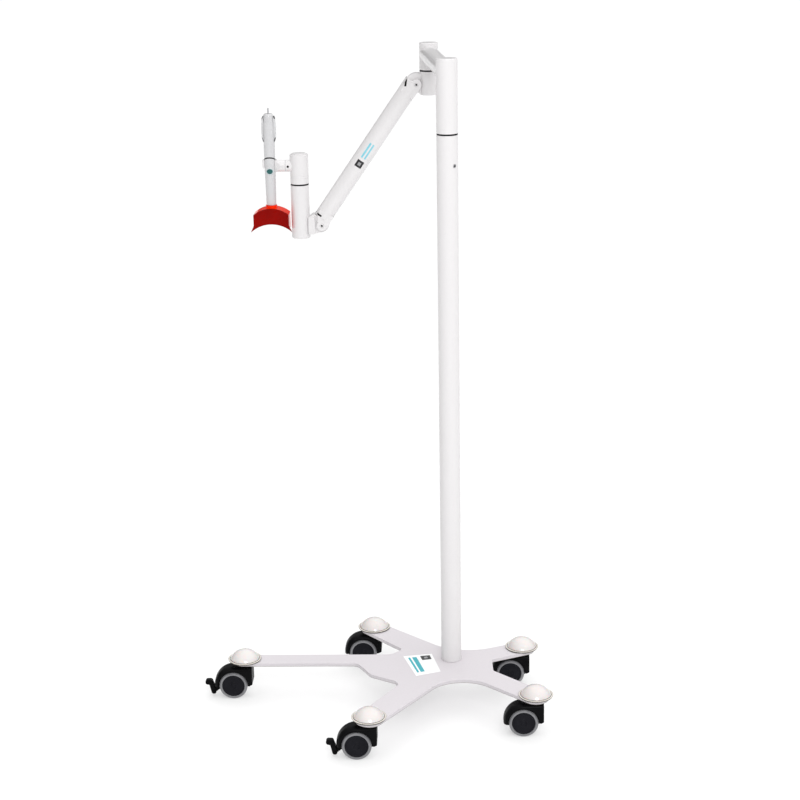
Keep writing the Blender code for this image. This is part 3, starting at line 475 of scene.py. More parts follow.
PAINT = {
    "plate": finish("plate_powder", (0.63, 0.6, 0.625), (0.615, 0.585, 0.61), (0.4, 0.45), 200, 1100, 0.015,
                    Specular_IOR_Level=0.3),
    # dark brown painted shade for the plate's lower rounded edge
    "plate_edge_shade": finish("plate_edge_painted_shade", (0.16, 0.13, 0.11), (0.11, 0.09, 0.075), (0.4, 0.5), 60, 900, 0.01),
    "tube": finish("tube_gloss", (0.73, 0.715, 0.72), (0.724, 0.709, 0.714), (0.27, 0.28), 220, 420, 0.001,
                   Coat_Weight=0.25, Coat_Roughness=0.08),
    "dome": finish("pearl_plastic", (0.7, 0.665, 0.65), (0.66, 0.62, 0.605), (0.14, 0.2), 25, 260, 0.004,
                   Subsurface_Weight=0.15, Subsurface_Scale=0.003, Coat_Weight=0.5, Coat_Roughness=0.04),
    "dome_lip": finish("pearl_lip", (0.64, 0.6, 0.55), (0.58, 0.545, 0.49), (0.14, 0.24), 40, 300, 0.006,
                       Coat_Weight=0.4, Coat_Roughness=0.06),
    # dark painted shade for the lines in the dome caps' grooves and under their lips
    "dome_line": finish("lip_groove_painted_shade", (0.06, 0.05, 0.04), (0.04, 0.034, 0.027), (0.4, 0.5), 60, 300, 0.006),
    "black": finish("hood_plastic", (0.0022, 0.0022, 0.0026), (0.0038, 0.0038, 0.0044), (0.34, 0.46), 50, 1700,
                    0.02, Specular_IOR_Level=0.06),
    "rubber": finish("ring_rubber", (0.003, 0.003, 0.0035), (0.006, 0.006, 0.006), (0.55, 0.72), 120, 1400, 0.02,
                     Specular_IOR_Level=0.1),
    "tread": wheel_finish("tread_grey", (0.17, 0.17, 0.18), (0.21, 0.21, 0.22), (0.26, 0.38), 26),
    "disc": wheel_finish(
        "disc_charcoal", (0.004, 0.004, 0.0065), (0.0075, 0.0075, 0.011), (0.34, 0.46), 40, Specular_IOR_Level=0.12),
    "steel": brushed("turned_steel", (0.56, 0.56, 0.58), (0.24, 0.4)),
    "lamp": finish("lamp_gloss", (0.6, 0.6, 0.61), (0.59, 0.59, 0.6), (0.2, 0.22), 240, 700, 0.002,
                   Coat_Weight=0.3, Coat_Roughness=0.06),
    "teal": finish("button_silicone", (0.008, 0.105, 0.1), (0.006, 0.085, 0.085), (0.38, 0.5), 200, 2400, 0.015),
    "teal_rim": finish("button_rim", (0.5, 0.66, 0.68), (0.45, 0.6, 0.63), (0.3, 0.4), 200, 2400, 0.01),
    # one red acrylic in two copies: a darker one, its own red with painted shade, and a much lighter one as painted
    # light
    "guard": guard_finish("red_acrylic", (0.27, 0.0015, 0.0), (0.21, 0.001, 0.0)),
    "guard_lit": guard_finish("red_acrylic_painted_light", (0.95, 0.035, 0.003), (0.85, 0.025, 0.002)),
    "lens": finish("lens_glass", (0.86, 0.92, 0.96), (0.8, 0.88, 0.94), (0.02, 0.06), 80, 500, 0.003,
                   Transmission_Weight=0.9, IOR=1.5),
    "label": finish("label_vinyl", (0.88, 0.885, 0.885), (0.86, 0.87, 0.87), (0.3, 0.4), 40, 1500, 0.004),
}
PAINT |= {key: finish(f"label_{name}", first, second, (0.35, 0.45), 60, 1500, 0.004) for key, name, first, second in (
    ("ink", "ink", (0.01, 0.01, 0.012), (0.018, 0.018, 0.02)),
    ("teal_ink", "teal", (0.03, 0.36, 0.42), (0.045, 0.4, 0.46)),
    ("sky_ink", "sky", (0.2, 0.55, 0.66), (0.24, 0.6, 0.7)),
    ("grey_ink", "grey", (0.28, 0.28, 0.29), (0.33, 0.33, 0.34)),
)}


# ---- base

def leg_corners(name):
    x, y, direction, half = LEG_ENDS[name]
    out = Vector((math.cos(math.radians(direction)), math.sin(math.radians(direction))))
    side = Vector((-out.y, out.x))
    end = Vector((x, y)) + out * half
    return [(*(end + side * way * half), half * 0.98) for way in (-1, 1)]


def plate_outline():
    return rounded(
        leg_corners("long")
        + [(-200, -21.5, 18), (-170, -76, 35), (-118, -107, 5), (-110, -124, 5)]
        + leg_corners("front_left")
        + [(10, -62, 75)]
        + leg_corners("front_right")
        + [(88, -60, 8), (86, -6, 8)]
        + leg_corners("rear_right")
        + [(15, 22, 110)]
        + leg_corners("rear_left")
        + [(-105, 47, 10), (-130, 21.5, 25)],
        14,
    )


def base_plate():
    plate = slab("base_plate_steel", plate_outline(), PLATE_TOP - PLATE_THICK, PLATE_TOP, 1.1, "plate",
                 upright=False, steps=4)
    holes = [rod("hole", STEM_R + GAP, (x, y, 70), (x, y, 90), "") for x, y, _, _ in LEG_ENDS.values()]
    holes.append(rod("hole", BOLT_HOLE_R, (0, 0, 70), (0, 0, 90), ""))
    cut(plate, *holes)
    # the plate's lower rounded edge is painted dark brown: a painted shade line under its rim
    plate.data.materials.append(PAINT["plate_edge_shade"])
    foot = ORIGIN.z + (PLATE_TOP - PLATE_THICK) * MM
    for face in plate.data.polygons:
        if face.center.z < foot + 0.0011 and face.normal.z > -0.95:
            face.material_index = len(plate.data.materials) - 1
    show(plate, "stand", "plate_paint", "base_plate")


def dome_cap(name, x, y):
    """Pearly cap: a low dome standing inside a two-stepped lip, thin-walled below, with dark lines of painted shade at
    the dome's foot, in the lip's groove and along its bottom.
    """
    foot = PLATE_TOP + GAP
    rise_foot, top, shoulder = foot + 3.5, foot + 22.0, 31.0
    rise = top - rise_foot
    ball = (shoulder ** 2 + rise ** 2) / (2 * rise)
    edge = math.degrees(math.asin(shoulder / ball))
    outer = arc((0, top - ball), ball, 90, 90 - edge, 18)
    inner = arc((0, top - ball), ball - 2.2, 90 - edge, 90, 18)
    outer[0] = (0, top)
    inner[-1] = (0, top - 2.2)
    steps = [  # (outline corner, paint: 1 for the lip, 2 for the dark lines of painted shade between its steps)
        ((31.2, rise_foot - 0.9, 0), 2), ((31.9, rise_foot - 0.4, 0), 1), ((34.3, foot + 3.0, 0.6), 1),
        ((DOME_R, foot + 2.5, 0.2), 2), ((DOME_R - 0.2, foot + 1.6, 0), 2), ((34.0, foot + 1.3, 0), 1),
        ((34.0, foot + 0.7, 0), 2), ((34.0, foot, 0), 2), ((28.2, foot, 0), 0),
    ]
    # the dome's foot, where it meets the lip, takes the painted shade line as well
    profile, bands = list(outer), [0] * (len(outer) - 1) + [2]
    lip = rounded([corner for corner, _ in steps], 3)
    paints = [paint for (_, _, radius), paint in steps for _ in range(4 if radius else 1)]
    cap = lathe(
        f"dome_cap_shell_{name}", profile + lip + inner, "dome dome_lip dome_line",
        at(x, y), bands=bands + paints + [0] * len(inner),
    )
    show(cap, "stand", "dome_plastic", f"dome_cap_{name}", sharp=50)


# ---- casters

def hood_outline(drop):
    """Side view of the hood, its back and top lowered by drop."""
    back = arc(WHEEL_SPOT, HOOD_R - drop, HOOD_TAIL, 92, 24)
    inner = arc(WHEEL_SPOT, HOOD_CLEAR_R, 4, HOOD_TAIL, 34)
    front = [(HOOD_FRONT, HOOD_TOP - drop, 2.0), (HOOD_FRONT, 33, 1.5), (9.2, 29.6, 0.8)]
    return rounded([(x, z, 0) for x, z in back] + front + [(x, z, 0) for x, z in inner], 4)


def hood_shell(name, spot):
    """The hood's shell, its back and top rolled over towards both sides."""
    shaped = bmesh.new()
    turns = [math.pi / 2 * step / 8 for step in range(9)]
    edges = [(6 + 14 * math.cos(turn), 8 * (1 - math.sin(turn))) for turn in turns]
    levels = [(-half, drop) for half, drop in edges] + [(half, drop) for half, drop in reversed(edges)]
    rings = [[shaped.verts.new((x, y, z)) for x, z in hood_outline(drop)] for y, drop in levels]
    skin(shaped, rings)
    return to_object(f"hood_shell_{name}", shaped, "black", spot)


def caster_hood(name, x, y):
    """Hood with the web between the wheels, the axle and, on a braked caster, the pedal's pin."""
    wx, wz = WHEEL_SPOT
    spot = at(x, y)
    hood = hood_shell(name, spot)
    half_web, half_axle = 2.4, WHEEL_OUT - 4
    tools = [
        slab("web", arc(WHEEL_SPOT, HOOD_CLEAR_R + 2, -15, 200, 40), -half_web, half_web, 0.3, "black", spot),
        rod("axle", 4.0, (x + wx, y - half_axle, wz), (x + wx, y + half_axle, wz), "black"),
    ]
    if name in BRAKED:
        px, pz = PEDAL_SPOT
        arm = rounded([(wx - 28, 34, 2), (px - 4, pz + 3, 3), (px, pz - 5, 3), (wx - 28, 18, 2)], 5)
        tools += [
            slab("brake_web", arm, 0.1 - half_web, half_web - 0.1, 0.4, "black", spot),
            rod("brake_pin", 2.0, (x + px, y - 9, pz), (x + px, y + 9, pz), "black"),
        ]
    join(hood, *tools)
    cut(hood, rod("socket", STEM_R + GAP, (x, y, 53.5), (x, y, 80), ""))
    show(hood, f"caster_{name}", "black_plastic", f"caster_hood_{name}")


def caster_stem(name, x, y):
    under = PLATE_TOP - PLATE_THICK - GAP
    over = HOOD_TOP + GAP
    turned_steel(f"stem_steel_{name}", "stand", f"caster_stem_{name}", [
        (0, STEM_TOP, 0), (STEM_R, STEM_TOP, 1), (STEM_R, under, 0), (9, under, 0.4), (9, over, 0.4),
        (STEM_R, over, 0), (STEM_R, STEM_FOOT, 1), (0, STEM_FOOT, 0)], x, y)


def wheel(name, side, x, y):
    """Twin wheel: a charcoal disc with raised rings inside a grey moulded tread."""
    face = [(0, 18.3, 0), (4.0, 18.3, 0.2), (4.6, 17.7, 0.2), (5.6, 17.7, 0.2), (6.2, 18.4, 0.2), (8.6, 18.6, 0.3),
            (9.2, 18.2, 0.2), (20.2, 17.9, 0.2), (20.9, 18.7, 0.3), (23.0, 18.8, 0.2), (23.5, 17.9, 0.1)]
    tread = [(23.9, 17.9, 0.1), (24.4, 19.3, 0.4), (27.6, 19.4, 1.2), (30.0, 16.6, 1.6), (30.0, 6.2, 1.6),
             (27.6, 3.2, 1.0), (24.2, 3.3, 0.4)]
    back = [(22.4, 6.0, 0.8), (8.0, 6.0, 0.8), (6.8, 3.4, 0.3), (4.4, 3.4, 0.2), (4.4, 16.5, 0), (0, 16.5, 0)]
    profile = rounded(face + tread + back, 3)
    start = next(i for i, (r, _) in enumerate(profile) if r > 23.7)
    end = next(i for i, (r, z) in enumerate(profile) if i > start and r < 23.6 and z < 7)
    bands = [int(start <= i < end) for i in range(len(profile))]
    label = "outer" if side < 0 else "inner"
    turn = at(x - TRAIL, y, WHEEL_R) @ Matrix.Rotation(math.radians(-90 * side), 4, "X")
    made = lathe(f"wheel_{label}_moulding_{name}", profile, "disc tread", turn, bands=bands)
    show(made, f"wheel_{label}_{name}", "wheel_plastic", f"wheel_{label}_{name}", sharp=50)


def brake_pedal(name, x, y):
    px, pz = PEDAL_SPOT
    spot = at(x, y)
    lever = rounded([
        (px - 5, pz - 6, 4.5), (px + 5, pz - 6, 4.5), (px + 3, pz + 8, 3), (px - 4, pz + 27, 5),
        (px - 18, pz + 27, 5), (px - 18.5, pz + 16.5, 4.8), (px - 10, pz + 15, 1.5)], 7)
    pedal = slab(f"pedal_lever_{name}", lever, -6.5, 6.5, 2.4, "black", spot, steps=5)
    cut(
        pedal,
        box((px - 14, -2.9, pz - 9), (px + 12, 2.9, pz + 17), spot),
        rod("hole", 2.3, (x + px, y - 12, pz), (x + px, y + 12, pz), ""),
    )
    show(pedal, f"pedal_{name}", "black_plastic", f"brake_pedal_{name}")


def make_base():
    base_plate()
    for name, (x, y, _, _) in LEG_ENDS.items():
        dome_cap(name, x, y)
        caster_stem(name, x, y)
        caster_hood(name, x, y)
        wheel(name, -1, x, y)
        wheel(name, 1, x, y)
        if name in BRAKED:
            brake_pedal(name, x, y)


# ---- labels

def plate_label():
    """A plain white label on the plate: a dark square and two teal bars, with no lettering."""
    corners = [Vector(c) for c in ((-103, 11), (-42, 23), (-23, -64), (-74, -85))]

    def patch(name, left, head, right, foot_line, low, high, paint):
        outline = []
        for u, v in ((left, head), (right, head), (right, foot_line), (left, foot_line)):
            top = corners[0].lerp(corners[1], u)
            foot = corners[3].lerp(corners[2], u)
            outline.append(tuple(top.lerp(foot, v)))
        piece = slab(f"plate_label_{name}", outline, PLATE_TOP + low, PLATE_TOP + high, 0, paint, upright=False)
        show(piece, "stand", "plate_paint")

    patch("sheet", 0, 0, 1, 1, 0.02, 0.14, "label")
    patch("square", 0.56, 0.07, 0.9, 0.29, 0.15, 0.18, "ink")
    patch("spot", 0.67, 0.13, 0.79, 0.22, 0.185, 0.2, "grey_ink")
    patch("bar_0", 0.12, 0.1, 0.2, 0.86, 0.15, 0.18, "teal_ink")
    patch("bar_1", 0.26, 0.1, 0.42, 0.86, 0.15, 0.18, "teal_ink")


ARM_TURN = Euler((0, math.radians(ARM_DROP), math.pi)).to_matrix().to_4x4()
ARM_SPOT = at(SHOULDER_X, HUB_Y, SHOULDER_Z) @ ARM_TURN
LABEL_THICK = 0.03


def arm_patch(name, along, across, lift, paint):
    """A thin label bent round the arm: along is its stretch of the arm, across its degrees round the front."""
    shaped = bmesh.new()
    inner, outer = (arc((0, ARM_OFFSET), ARM_R + rise, *across, 14) for rise in (lift, lift + LABEL_THICK))
    skin(shaped, [[shaped.verts.new((end, y, z)) for y, z in inner + outer[::-1]] for end in along])
    show(to_object(name, shaped, paint, ARM_SPOT), "arm", "tube_paint")


def arm_label():
    """A thin sheet on the arm with a dark square and two pale bars."""
    for name, along, across, lift, paint in (
        ("sheet", (150, 222), (-34, 32), 0.03, "tube"),
        ("square", (200.5, 216.5), (-26, 22), 0.08, "ink"),
        ("spot", (205.0, 212.0), (-12, 8), 0.13, "grey_ink"),
        ("bar_0", (157, 194), (3, 16), 0.08, "sky_ink"),
        ("bar_1", (157, 194), (-18, -7), 0.08, "sky_ink"),
    ):
        arm_patch(f"arm_label_{name}", along, across, lift, paint)


# ---- pole and boom

def hexagon(radius, start, end, paints=""):
    """Cutter for a hexagon socket."""
    return rod("socket", radius, start, end, paints, edge=0, sides=6)


def ring(name, body, node, x, y, outer, inner, top):
    """Black friction ring between two turning tubes."""
    foot = top - RING_THICK
    profile = rounded([(inner, top, 0), (outer, top, 0.5), (outer, foot, 0.5), (inner, foot, 0)], 3)
    show(lathe(name, profile, "rubber", at(x, y)), body, "black_rubber", node)


def turned_steel(name, body, node, profile, x=0, y=0):
    made = lathe(name, rounded(profile, 3), "steel", at(x, y), SMALL)
    show(made, body, "steel", node)


def pole():
    foot = PLATE_TOP + GAP
    profile = rounded([(POLE_BORE_R, POLE_TOP, 0), (POLE_R, POLE_TOP, 0.5), (POLE_R, foot, 0.4),
                       (POLE_BORE_R, foot, 0)], 3)
    tube = lathe("pole_tube", profile, "tube")
    turn = math.radians(SET_SCREW_ROUND)
    way = Vector((math.cos(turn), math.sin(turn), 0))
    level = Vector((0, 0, SET_SCREW_Z))
    # the hole's walls and the screw's hex socket take the black rubber paint: painted shade in the recesses
    cut(tube, rod("hole", 4.0, way * 12 + level, way * 30 + level, "rubber", edge=0))
    show(tube, "stand", "tube_paint", "lower_tube")
    screw = rod("pole_set_screw", 3.6, way * (POLE_BORE_R + 0.1) + level, way * (POLE_R + 0.5) + level,
                "steel", edge=0.5)
    cut(screw, hexagon(2.3, way * (POLE_R - 1.2) + level, way * 30 + level, "rubber"))
    show(screw, "stand", "steel", "spigot_screw")
    ring("pole_swivel_ring", "stand", "swivel_ring", 0, 0, POLE_R - RING_INSET, SHAFT_R + GAP,
         POLE_TOP + GAP + RING_THICK)
    plug_r = POLE_BORE_R - GAP
    turned_steel("pole_spigot_shaft", "stand", "pole_spigot", [
        (0, SPIGOT_TOP, 0), (SHAFT_R, SPIGOT_TOP, 1), (SHAFT_R, POLE_TOP - 2, 0), (plug_r, POLE_TOP - 2, 0.5),
        (plug_r, SPIGOT_FOOT, 0.8), (0, SPIGOT_FOOT, 0)])
    turned_steel("pole_foot_plug", "stand", "pole_plug", [
        (5.0, foot + 40, 0), (plug_r, foot + 40, 1), (plug_r, foot, 0.5), (5.0, foot, 0)])
    under = PLATE_TOP - PLATE_THICK - GAP
    bolt = lathe("pole_foot_bolt", rounded([
        (0, 118, 0), (4.7, 118, 0.8), (4.7, under, 0), (9, under, 0.4), (9, under - 8, 0.8), (0, under - 8, 0)], 3),
        "steel", None, SMALL)
    cut(bolt, hexagon(4.6, (0, 0, under - 12), (0, 0, under - 3.5)))
    show(bolt, "stand", "steel", "pole_bolt")


def boom():
    """Upper tube, boom and hub as one white casting, hollow inside."""
    foot = POLE_TOP + RING_THICK + 2 * GAP
    tube = lathe("boom_casting", rounded([
        (0, BOOM_TOP, 0), (POLE_R, BOOM_TOP, 2.4), (POLE_R, foot, 0.6), (0, foot, 0)], 6), "tube")
    hub = lathe("hub", rounded([
        (0, HUB_TOP, 0), (TUBE_R, HUB_TOP, 2.0), (TUBE_R, HUB_FOOT, 0.6), (0, HUB_FOOT, 0)], 6),
        "tube", at(HUB_X, HUB_Y))
    level = Vector((0, 0, BOOM_Z))
    far = Vector((HUB_X, HUB_Y, 0))
    along = far.normalized()
    length = far.length - 12
    sides = [(BOOM_TUBE_R, length * (1 - step / 24)) for step in range(25)]
    turn = along.to_track_quat("Z", "Y").to_matrix().to_4x4()
    beam = lathe("beam", [(0, length)] + sides + [(0, 0)], "tube", Matrix.Translation(along * 6 + level) @ turn)
    join(tube, hub, beam)
    cut(
        tube,
        bore(SHAFT_R + 0.5, (0, 0, foot - 10), (0, 0, BOOM_TOP - 4)),
        bore(BOOM_TUBE_R - 3, along * 2 + level, far - along * 19 + level),
        bore(ELBOW_R + 0.4, (HUB_X, HUB_Y, HUB_FOOT - 10), (HUB_X, HUB_Y, 1331)),
    )
    show(tube, "boom", "tube_paint", "boom", sharp=30)
    turned_steel("elbow_shaft", "boom", "elbow_pin", [
        (0, 1330.5, 0), (ELBOW_R, 1330.5, 0.8), (ELBOW_R, 1250.5, 0.8), (0, 1250.5, 0)], HUB_X, HUB_Y)
    ring("elbow_swivel_ring", "boom", "elbow_ring", HUB_X, HUB_Y, TUBE_R - RING_INSET, ELBOW_R + 0.4, HUB_FOOT - GAP)


# ---- shoulder and arm

def cross_rod(name, radius, x, z, near, far, edge=0.0, sides=SMALL, paints=""):
    return rod(name, radius, (x, near, z), (x, far, z), paints, edge=edge, sides=sides)


def link_slot(block, x, z, side):
    """Opens a tongue for the link's eye and puts the eye's pin back across it."""
    y = HUB_Y
    low_x, high_x = sorted((x + side * 32, x - side * 8.5))
    tools = [box((low_x, y - 3.4, z + 4.6), (high_x, y + 3.4, z + 30))]
    if side < 0:
        tools.append(box((low_x, y - 3.4, z - 24), (x - 0.8, y + 3.4, z + 6)))
    cut(block, *tools)
    join(block, cross_rod("pin", LINK_R, x, z + LINK_RISE, y - 7, y + 7))


def lug_reliefs(x, z, half):
    return [cross_rod("relief", LUG_R + 1.2, x, z, HUB_Y + side * half, HUB_Y + side * 30, sides=FINE)
            for side in (-1, 1)]


def cross_pin(name, body, node, x, z):
    pin = cross_rod(name, PIN_R, x, z, HUB_Y - LUG_HALF, HUB_Y + LUG_HALF, 0.6, SMALL, "tube")
    # the hex socket's walls are painted black: painted shade in the recess
    cut(pin, hexagon(2.5, (x, HUB_Y - LUG_HALF - 3, z), (x, HUB_Y - LUG_HALF + 6.0, z), "black"))
    show(pin, body, "steel", node)


def shoulder():
    sx, sz = SHOULDER_X, SHOULDER_Z
    top = HUB_FOOT - 2 * GAP - RING_THICK
    half = FORK_HALF - GAP
    block = lathe("shoulder_block", rounded([
        (0, top, 0), (TUBE_R, top, 0.6), (TUBE_R, 1236, 3), (0, 1236, 0)], 6), "tube", at(HUB_X, HUB_Y))
    outline = (
        [(sx + 30, top - 1), (sx + 14, top - 1)]
        + arc((sx, sz), 24, 62, 190, 40)
        + arc((sx, sz), 15, 200, 265, 20)
        + [(sx + 13, sz - 22.9), (sx + 30, sz - 22.9)]
    )
    join(block, slab("tongue", outline, -half, half, 0.4, "tube", at(0, HUB_Y)))
    cut(
        block,
        bore(ELBOW_R + 0.3, (HUB_X, HUB_Y, 1250), (HUB_X, HUB_Y, 1300)),
        cross_rod("bore", PIN_BORE_R, sx, sz, HUB_Y - 30, HUB_Y + 30),
        *lug_reliefs(sx, sz, half),
    )
    link_slot(block, sx, sz, -1)
    show(block, "shoulder", "tube_paint", "shoulder_knuckle")
    cross_pin("shoulder_hinge_pin", "shoulder", "shoulder_pin", sx, sz)


def lug_outline(end, inward):
    reach = end + inward * 30
    tail = [(reach, ARM_OFFSET + 13), (end + inward * 15, ARM_OFFSET + 13), (end + inward * 1, LUG_R + 1.5)]
    nose = arc((end, 0), LUG_R, 80, 270, 36)
    if inward < 0:
        nose = [(2 * end - px, pz) for px, pz in nose]
    return tail + nose + [(reach, -LUG_R + 0.6)]


def seams(tube):
    """Dark joint lines where the arm's tube meets the end castings, cut into its front and top; the cuts' walls take
    the black rubber paint as painted shade in the gaps.
    """
    wide = 4.0
    foot = ARM_LENGTH - 15.2
    slant = [(-4.2, 25.4), (-0.8, 28.2), (17.2, 19.4), (14.6, 15.9)]
    front = FORK_HALF + 0.8, 30
    top = -4, 14
    for outline, (low, high) in (
        (slant, front),
        ([(foot - wide, 12.5), (foot, 12.5), (foot, 29), (foot - wide, 29)], front),
        ([(0.6 - wide, 26.2), (0.6, 26.2), (0.6, 30), (0.6 - wide, 30)], top),
        ([(foot - wide, 26.2), (foot, 26.2), (foot, 30), (foot - wide, 30)], top),
    ):
        cut(tube, slab("seam", outline, low, high, 0, "rubber", ARM_SPOT))


def arm():
    local = ARM_SPOT
    length = ARM_LENGTH

    def along(name, radius, start, end, edge=0.0, paints="", rise=ARM_OFFSET):
        profile = rounded([(0, end, 0), (radius, end, edge), (radius, start, edge), (0, start, 0)], 4)
        turn = at(0, 0, rise) @ Matrix.Rotation(math.pi / 2, 4, "Y")
        return lathe(name, profile, paints, local @ turn, FINE if radius > 10 else SMALL)

    def across(radius, place):
        turn = at(place[0], 0, place[1]) @ Matrix.Rotation(math.pi / 2, 4, "X")
        return lathe("hole", [(0, 30), (radius, 30), (radius, -30), (0, -30)], "", local @ turn, SMALL)

    tube = along("arm_casting", ARM_R, -1, length - 13.8, 0.8, "tube")
    lugs = [slab("lug", lug_outline(end, inward), -LUG_HALF, LUG_HALF, 0.8, "tube", local)
            for end, inward in ((0, 1), (length, -1))]
    join(tube, *lugs)
    cut(
        tube,
        along("arm_bore", ARM_R - 3, 27, length - 27),
        box((-30, -FORK_HALF, -20), (15.5, FORK_HALF, BRIDGE_FOOT), local),
        box((length - 28, -FORK_HALF, -20), (length + 30, FORK_HALF, BRIDGE_FOOT), local),
        box((10, -FORK_HALF, -24), (34, FORK_HALF, 19), local),
        across(PIN_BORE_R, (0, 0)),
        across(PIN_BORE_R, (length, 0)),
    )
    seams(tube)
    show(tube, "arm", "tube_paint", "arm_tube", sharp=30)
    strut = along("gas_spring_cylinder", 5.0, 60, 250, 1.0, "steel", ARM_OFFSET - 9.5)
    join(strut, along("rod", 2.6, 240, 322, 0.5, "steel", ARM_OFFSET - 9.5))
    show(strut, "arm", "steel", "gas_spring")

    drop = math.radians(ARM_DROP)
    start = (-LINK_RISE * math.sin(drop), LINK_RISE * math.cos(drop))
    ends = (start, (start[0] + length, start[1]))
    link = along("link_bar", LINK_R, ends[0][0] + 4, ends[1][0] - 4, 0.0, "steel", start[1])
    join(link, *[slab("eye", arc(place, 5.2, 0, 351, 39), -2.6, 2.6, 0.4, "steel", local) for place in ends])
    cut(link, *[across(2.8, place) for place in ends])
    show(link, "link", "steel", "link_rod")


# ---- post

def at_clip(x, y=HUB_Y):
    return (x, y, CLIP_Z)


def post():
    wx, wz = WRIST_X, WRIST_Z
    body = lathe("post_lower_tube", rounded([
        (0, 945, 0), (13, 945, 0), (13, 984.7, 0), (16.5, 984.7, 0), (16.5, POST_SPLIT, 0), (TUBE_R, POST_SPLIT, 0.6),
        (TUBE_R, POST_FOOT, 2.8), (0, POST_FOOT, 0)], 6), "tube", at(POST_X, HUB_Y))
    root = POST_X + TUBE_R - 3
    knuckle = rounded([
        (root, wz + 19, 0), (wx - 27, wz + 19, 5), (wx - 17.6, wz + 26, 2), (wx - 15, wz + 12, 0),
        (wx - 14, wz - 18.6, 4), (root, wz - 18.6, 0)], 8)
    tongue = (
        [(root, wz - 17), (root, wz + 18.5), (wx - 26.5, wz + 18.5), (wx - 17.4, wz + 25.5), (wx - 16, wz + 25),
         (wx - 3.4, wz + 16.8)]
        + arc((wx, wz), 14.5, 80, -75, 32) + [(wx - 13.6, wz - 18)]
    )
    half = FORK_HALF - GAP
    spot = at(0, HUB_Y)
    join(
        body,
        slab("knuckle", knuckle, -17, 17, 1.6, "tube", spot, steps=4),
        slab("tongue", tongue, -half, half, 0.4, "tube", spot),
    )
    cut(body, cross_rod("bore", PIN_BORE_R, wx, wz, HUB_Y - 30, HUB_Y + 30), *lug_reliefs(wx, wz, half))
    link_slot(body, wx, wz, 1)
    show(body, "post", "tube_paint", "wrist_post")
    cross_pin("wrist_hinge_pin", "post", "wrist_pin", wx, wz)
    plug_r = 16.2
    turned_steel("post_spindle_shaft", "post", "post_spindle", [
        (0, 1105.6, 0), (10, 1105.6, 1), (10, POST_SPLIT - 2, 0), (plug_r, POST_SPLIT - 2, 0.4), (plug_r, 985, 0.5),
        (9, 985, 0), (9, 1035, 0), (0, 1035, 0)], POST_X, HUB_Y)
    ring("post_swivel_ring", "post", "post_ring", POST_X, HUB_Y, TUBE_R - RING_INSET, POST_BORE_R,
         POST_SPLIT + GAP + RING_THICK)


def sleeve():
    foot = POST_SPLIT + RING_THICK + 2 * GAP
    seat = POST_TOP - 2.0
    outer = [(16, seat, 0), (16, POST_TOP, 0.3), (TUBE_R, POST_TOP, 1.2)]
    bed = TUBE_R - 0.35
    for z in (1066.2, 1061.4):
        outer += [(TUBE_R, z + 0.5, 0.1), (bed, z + 0.15, 0.1), (bed, z - 0.15, 0.1), (TUBE_R, z - 0.5, 0.1)]
    outer += [(TUBE_R, foot, 0.6), (POST_BORE_R, foot, 0), (POST_BORE_R, 1106, 0), (0, 1106, 0)]
    tube = lathe("post_sleeve_tube", rounded([(0, seat, 0)] + outer, 4), "tube", at(POST_X, HUB_Y))
    boss = rod("boss", BOSS_R, at_clip(POST_X - 14), at_clip(BOSS_END), "tube", edge=0.6, sides=FINE)
    join(tube, boss)
    cut(
        tube,
        bore(8.3, at_clip(BOSS_END - 5), at_clip(POST_X - 11)),
        bore(2.6, at_clip(BOSS_SCREW_X, HUB_Y - 20), at_clip(BOSS_SCREW_X)),
    )
    show(tube, "sleeve", "tube_paint", "post_sleeve", sharp=30)
    cap_top, cap_foot = POST_TOP + 2.6, POST_TOP - 1.7
    cap = lathe("post_top_cap", rounded([
        (0, cap_top, 0), (15.6, cap_top, 1.6), (15.6, cap_foot, 0), (0, cap_foot, 0)], 6), "tube", at(POST_X, HUB_Y))
    show(cap, "sleeve", "tube_paint", "post_cap")
    screw = rod("clip_grub_screw", 2.3, at_clip(BOSS_SCREW_X, HUB_Y - 12.6), at_clip(BOSS_SCREW_X, HUB_Y - 8.4),
                "black", edge=0.3)
    cut(screw, hexagon(1.2, at_clip(BOSS_SCREW_X, HUB_Y - 14), at_clip(BOSS_SCREW_X, HUB_Y - 11.2)))
    show(screw, "sleeve", "black_plastic", "clip_screw")


# ---- lamp

LAMP_SPOT = at(LAMP_X, HUB_Y)


def on_lamp(z):
    return (LAMP_X, HUB_Y, z)


def clip():
    """Stub and springy C-shaped jaw, open at the front, that hold the lamp."""
    start = BOSS_END - GAP
    jaw = lathe("clip_jaw", rounded([(0, 1101, 0), (16.3, 1101, 1.4), (16.3, 1083, 1.4), (0, 1083, 0)], 5), "tube",
                LAMP_SPOT)
    stub = rod("stub", BOSS_R, at_clip(start), at_clip(LAMP_X + 11), "tube", edge=0.6, sides=FINE)
    spigot = rod("spigot", 8.0, at_clip(start - 3), at_clip(POST_X - 12.5), "tube", edge=0.6)
    join(jaw, stub, spigot)
    mouth = slab("mouth", [(0, 0), (-40, -19), (-40, -60), (40, -60), (40, -23)], 1060, 1120, 0, "", LAMP_SPOT,
                 upright=False)
    cut(jaw, bore(LAMP_R + GAP, on_lamp(1060), on_lamp(1120), sides=FINE), mouth)
    show(jaw, "lamp", "tube_paint", "holder_clip", sharp=30)


